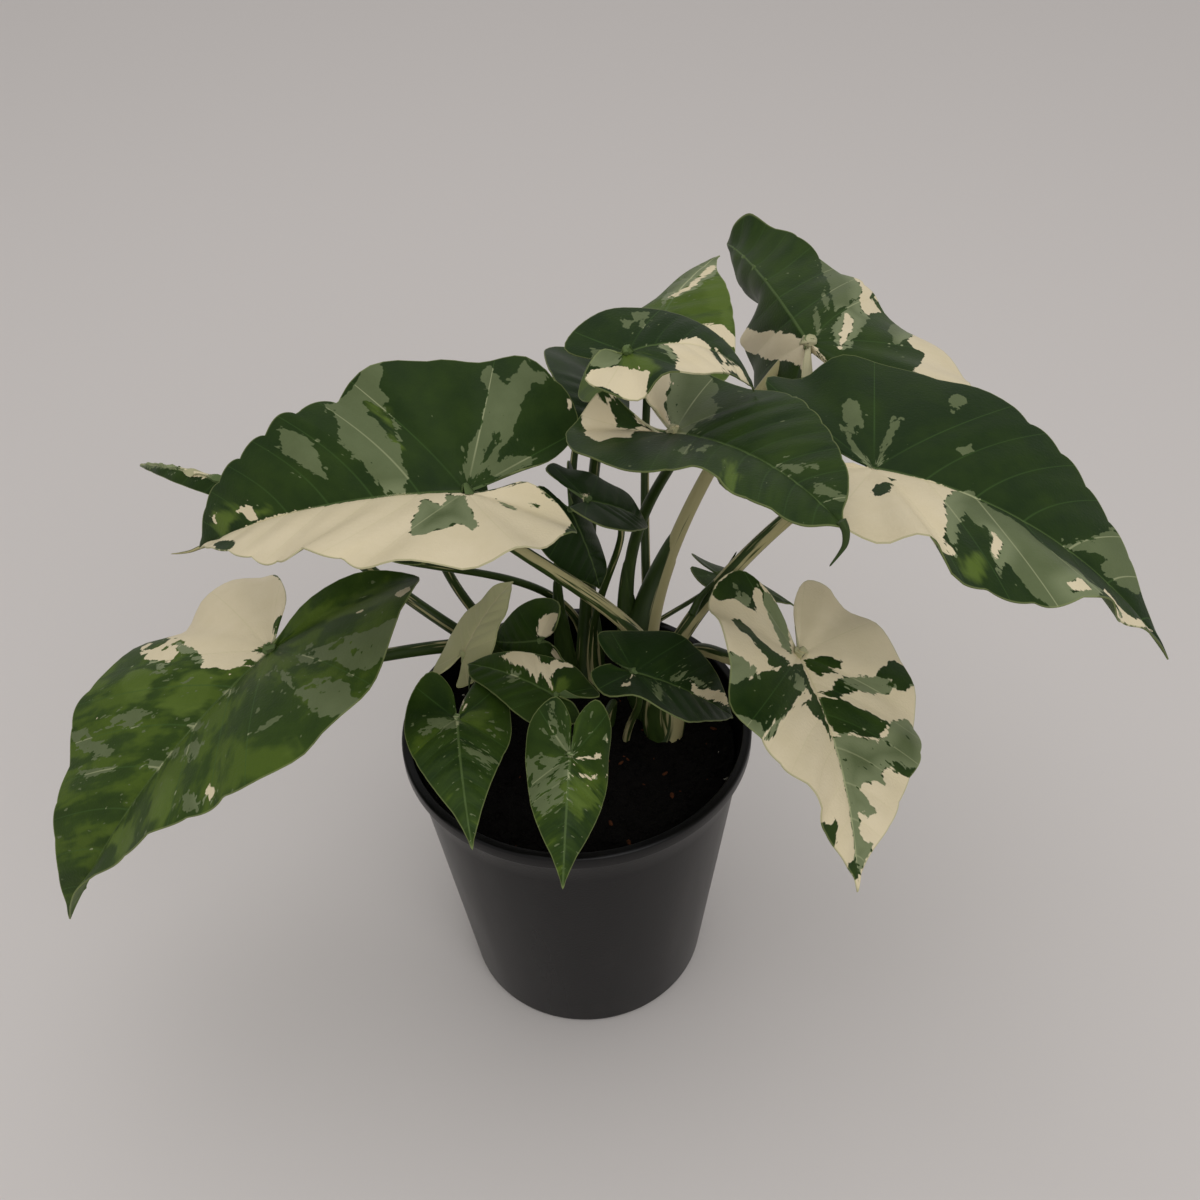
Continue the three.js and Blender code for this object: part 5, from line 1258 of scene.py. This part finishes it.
# Each leaf is one grown piece with its stalk, its sheath and its thread
def leafPiece(name, leaf, number):
    looks = {**plainLooks, **leafLooks.get(name, {})}
    pieces = [bladePiece(name, leaf, looks, number), stalkPiece(name, leaf, looks, number)]
    if leaf['crown']:
        pieces.append(sheathPiece(name, leaf, looks, number))
    if name in threads:
        pieces.append(threadPiece(threads[name]))
    piece = joinPieces(name + '_fine', pieces)
    bpy.ops.object.shade_smooth_by_angle(angle=math.radians(50))
    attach(piece, 'root')
    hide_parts(name)


for number, (name, leaf) in enumerate(leafTable.items()):
    leafPiece(name, leaf, number)
print('leaves made')

# Crown: the swollen base that a clump's stalks rise from
crown = dict(
    right=dict(centre=(51.5, 15.5), radii=(14.5, 17.5)),
    back=dict(centre=(4, 57.5), radii=(16.5, 16.5)),
    footZ=148, topZ=181, lumps=0.06, lumpGrain=2.5, cream=0.35, segments=40, ringCount=24,
)


def crownPiece(key):
    deselectAll()
    bpy.ops.mesh.primitive_uv_sphere_add(segments=crown['segments'], ring_count=crown['ringCount'], radius=1)
    piece = bpy.context.object
    (x, y), (rx, ry) = crown[key]['centre'], crown[key]['radii']
    half = (crown['topZ'] - crown['footZ']) / 2
    for vertex in piece.data.vertices:
        lump = 1 + crown['lumps'] * noise.noise(vertex.co * crown['lumpGrain'])
        vertex.co = (x + rx * lump * vertex.co.x, y + ry * lump * vertex.co.y,
                     crown['footZ'] + half + half * vertex.co.z)
        vertex.co *= mm
    storeValues(piece, dict(stalkCream=np.full(len(piece.data.vertices), crown['cream'])))
    piece.data.materials.append(stalkSkin)
    joinPieces('crown_' + key + '_fine', [piece])
    bpy.ops.object.shade_smooth_by_angle(angle=math.radians(50))
    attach(piece, 'root')
    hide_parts('crown_' + key)


crownPiece('right')
crownPiece('back')
print('crowns made')

# Pot: a thin moulded nursery pot with a rolled rim
pot = dict(
    footRadius=75, neckRadius=95.6, rimRadius=100, height=193.5, rimHeight=8, wall=1.8, floor=2.5,
    innerRing=40, footRound=4, neckRound=1.2, bandRound=1, rimRound=1.6, innerRound=1.4, floorRound=2,
    drainHoles=6, drainHoleRadius=5.5, drainCircle=46, segments=144, wallRings=10,
)


# A ring of vertices is added, then extruded and resized from point to point of a profile
def turnProfile(name, profile, segments):
    deselectAll()
    radius, height = profile[0]
    bpy.ops.mesh.primitive_circle_add(vertices=segments, radius=radius * mm, enter_editmode=True)
    bpy.ops.transform.translate(value=(0, 0, height * mm))
    for (r1, z1), (r2, z2) in zip(profile, profile[1:]):
        bpy.ops.mesh.extrude_region_move(TRANSFORM_OT_translate=dict(value=(0, 0, (z2 - z1) * mm)))
        bpy.ops.transform.resize(value=(r2 / r1, r2 / r1, 1), center_override=(0, 0, z2 * mm))
    bpy.ops.mesh.select_all(action='SELECT')
    bpy.ops.mesh.fill_holes(sides=0)
    bpy.ops.mesh.select_all(action='SELECT')
    bpy.ops.mesh.normals_make_consistent(inside=False)
    bpy.ops.object.mode_set(mode='OBJECT')
    piece = bpy.context.object
    piece.name = name
    return piece


def arc(centreR, centreZ, radius, fromDegrees, toDegrees, steps):
    angles = np.radians(np.linspace(fromDegrees, toDegrees, steps))
    return [(centreR + radius * math.cos(a), centreZ + radius * math.sin(a)) for a in angles]


def potPiece():
    top, neckZ = pot['height'], pot['height'] - pot['rimHeight']
    rim, neck, foot = pot['rimRadius'], pot['neckRadius'], pot['footRadius']
    innerNeck, innerFoot = neck - pot['wall'], foot - pot['wall']
    footR, neckR, bandR, rimR = pot['footRound'], pot['neckRound'], pot['bandRound'], pot['rimRound']
    innerR, floorR, floorZ, rings = pot['innerRound'], pot['floorRound'], pot['floor'], pot['wallRings']
    profile = [(pot['innerRing'], 0), (foot - 2 * footR, 0)] + arc(foot - footR, footR, footR, -80, 0, 6)
    profile += [(foot + (neck - foot) * i / rings, footR + (neckZ - 1 - footR) * i / rings)
                for i in range(1, rings)]
    profile += [(neck - 0.1, neckZ - 1)] + arc(neck + neckR, neckZ - neckR, neckR, 180, 90, 4)[1:]
    profile += arc(rim - bandR, neckZ + bandR, bandR, -90, 0, 4) + arc(rim - rimR, top - rimR, rimR, 0, 90, 6)
    profile += arc(innerNeck + innerR + 0.8, top - innerR, innerR, 90, 180, 5) + [(innerNeck + 0.2, neckZ)]
    profile += [(innerFoot + 0.2, floorZ + floorR)]
    profile += arc(innerFoot - floorR, floorZ + floorR, floorR, -20, -90, 4) + [(pot['innerRing'], floorZ)]
    piece = turnProfile('pot_fine', profile, pot['segments'])
    across = pot['drainCircle'] * mm
    for i in range(pot['drainHoles']):
        angle = 2 * math.pi * i / pot['drainHoles']
        deselectAll()
        bpy.ops.mesh.primitive_cylinder_add(
            vertices=24, radius=pot['drainHoleRadius'] * mm, depth=4 * pot['floor'] * mm,
            location=(across * math.cos(angle), across * math.sin(angle), 0))
        hole = bpy.context.object
        applyModifier(piece, 'BOOLEAN', object=hole, operation='DIFFERENCE', solver='EXACT')
        bpy.data.objects.remove(hole)
    piece.data.materials.clear()
    piece.data.materials.append(potMaterial())
    selectOnly(piece)
    bpy.ops.object.shade_smooth_by_angle(angle=math.radians(35))
    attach(piece, 'root')
    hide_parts('pot')


potPiece()
print('pot made')

# Soil: it fills the pot to under the rim, in a low crumbly mound
soil = dict(
    level=172, mound=3, ripple=1.1, rippleWaves=(7.3, 8.1, 4.7), gap=0.35, rings=64, segments=220,
    lumpHeight=1.6, lumpWidth=6, gritHeight=1.0, gritWidth=2.2,
    crumbs=1900, crumbSize=(0.6, 2.3), sizePower=2.5, crumbReach=92, crumbLump=0.5, chip=(1.3, 0.8, 0.6),
    flatness=(0.6, 0.45), flatnessSpread=0.3, crumbTilt=0.8, crumbLift=0.25,
    barkShare=0.035, perliteShare=0.004, seed=11,
)


def soilHeight(x, y):
    edge = pot['neckRadius'] - pot['wall'] - 2
    share = min(math.hypot(x, y) / edge, 1)
    waveX, waveY, waveBoth = soil['rippleWaves']
    ripple = math.sin(x / waveX + 1) * math.cos(y / waveY) + 0.6 * math.sin((x + y) / waveBoth)
    lump = soil['lumpHeight'] * noise.noise((x / soil['lumpWidth'], y / soil['lumpWidth'], 0))
    grit = soil['gritHeight'] * noise.noise((x / soil['gritWidth'], y / soil['gritWidth'], 5))
    return soil['level'] + soil['mound'] * (1 - share * share) + soil['ripple'] * ripple + (lump + grit)


def soilPiece():
    slope = (pot['neckRadius'] - pot['footRadius']) / (pot['height'] - pot['rimHeight'] - 4)
    inner = pot['footRadius'] - pot['wall'] - soil['gap']
    edge = inner + slope * (soil['level'] - 4) - 0.5
    profile = [(30, pot['floor'] + soil['gap']), (inner - 3, pot['floor'] + soil['gap']),
               (inner, 8), (edge, soil['level'] - 2)]
    profile += [(edge * (1 - (i + 0.5) / soil['rings']), soil['level']) for i in range(soil['rings'])]
    body = turnProfile('soil_fine', profile, soil['segments'])
    for vertex in body.data.vertices:
        x, y, z = vertex.co / mm
        if z > soil['level'] - 1:
            vertex.co.z = soilHeight(x, y) * mm
    storeValues(body, dict(crumbKind=np.zeros(len(body.data.vertices))))
    piece = joinPieces('soil_fine', [body] + [crumbPiece(kind) for kind in range(3)])
    piece.data.materials.clear()
    piece.data.materials.append(soilMaterial())
    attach(piece, 'root')
    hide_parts('soil')


# One crumb is modelled for each kind, which is peat, bark or perlite, and its copies lie over the soil
def crumbPiece(kind):
    deselectAll()
    bpy.ops.mesh.primitive_ico_sphere_add(subdivisions=1 if kind else 2, radius=1)
    crumb = bpy.context.object
    draw = np.random.default_rng(soil['seed'] + kind)
    shape = np.array([vertex.co * (1 + soil['crumbLump'] * noise.noise(vertex.co * 1.7 + vertex.co * kind))
                      for vertex in crumb.data.vertices])
    faces = np.array([list(face.vertices) for face in crumb.data.polygons])
    shares = [1 - soil['barkShare'] - soil['perliteShare'], soil['barkShare'], soil['perliteShare']]
    smallest, largest = soil['crumbSize']
    points, corners = [], []
    for _ in range(round(soil['crumbs'] * shares[kind])):
        distance, angle = soil['crumbReach'] * math.sqrt(draw.random()), draw.random() * 2 * math.pi
        x, y = distance * math.cos(angle), distance * math.sin(angle)
        size = smallest + (largest - smallest) * draw.random() ** soil['sizePower']
        flatter = [least + soil['flatnessSpread'] * draw.random() for least in soil['flatness']]
        stretch = np.array([1] + flatter)
        if kind == 1:
            stretch *= soil['chip']
        turn = Matrix.Rotation(draw.random() * 6.28, 3, 'Z')
        turn = turn @ Matrix.Rotation(draw.random() * soil['crumbTilt'], 3, 'X')
        placed = shape * stretch * size @ np.array(turn).T
        corners.append(faces + len(shape) * len(points))
        points.append(placed + (x, y, soilHeight(x, y) + soil['crumbLift'] * size))
    mesh = bpy.data.meshes.new('crumbs')
    mesh.from_pydata((np.vstack(points) * mm).tolist(), [], np.vstack(corners).tolist())
    bpy.data.objects.remove(crumb)
    piece = bpy.data.objects.new('crumbs', mesh)
    bpy.context.collection.objects.link(piece)
    storeValues(piece, dict(crumbKind=np.full(len(mesh.vertices), kind)))
    return piece


soilPiece()
print('soil made')

# Studio: a plain pale floor and soft light from all round
stage = dict(
    floorSize=9, floorColour='#d6d1ce', floorRoughness=0.8, worldStrength=0.64, worldColour='#f5f3f2',
    lamps=[  # place in metres, size, power in watts and turn in degrees of each soft light
        ((-0.2, 0.2, 2.4), 2.0, 7, (-5, -5, 0)),
        ((0.7, -1.8, 1.7), 1.6, 13, (50, 0, 22)),
    ],
)


def makeStage():
    deselectAll()
    bpy.ops.mesh.primitive_plane_add(size=stage['floorSize'])
    floor = bpy.context.object
    floor.name = 'floor'
    floor.data.materials.append(finishMaterial(newMaterial('paperSweep'), {
        'Base Color': linear(stage['floorColour']), 'Roughness': stage['floorRoughness']}))
    world = bpy.data.worlds.new('studio')
    world.use_nodes = True
    background = world.node_tree.nodes['Background']
    background.inputs['Color'].default_value = linear(stage['worldColour'])
    background.inputs['Strength'].default_value = stage['worldStrength']
    bpy.context.scene.world = world
    for place, size, power, turn in stage['lamps']:
        bpy.ops.object.light_add(type='AREA', location=place, rotation=[math.radians(a) for a in turn])
        lamp = bpy.context.object
        lamp.data.shape = 'DISK'
        lamp.data.size = size
        lamp.data.energy = power


def makeCamera():
    across, upward, forward = cameraAxes()
    data = bpy.data.cameras.new('camera')
    data.lens, data.sensor_width = photo['lens'], photo['sensor']
    camera = bpy.data.objects.new('camera', data)
    bpy.context.collection.objects.link(camera)
    place = np.identity(4)
    place[:3, 0], place[:3, 1], place[:3, 2] = across, upward, -forward
    place[:3, 3] = np.array(photo['cameraAt']) * mm
    camera.matrix_world = Matrix(place.tolist())
    bpy.context.scene.camera = camera
    bpy.context.scene.view_settings.view_transform = 'Standard'


makeStage()
makeCamera()
print('stage made')
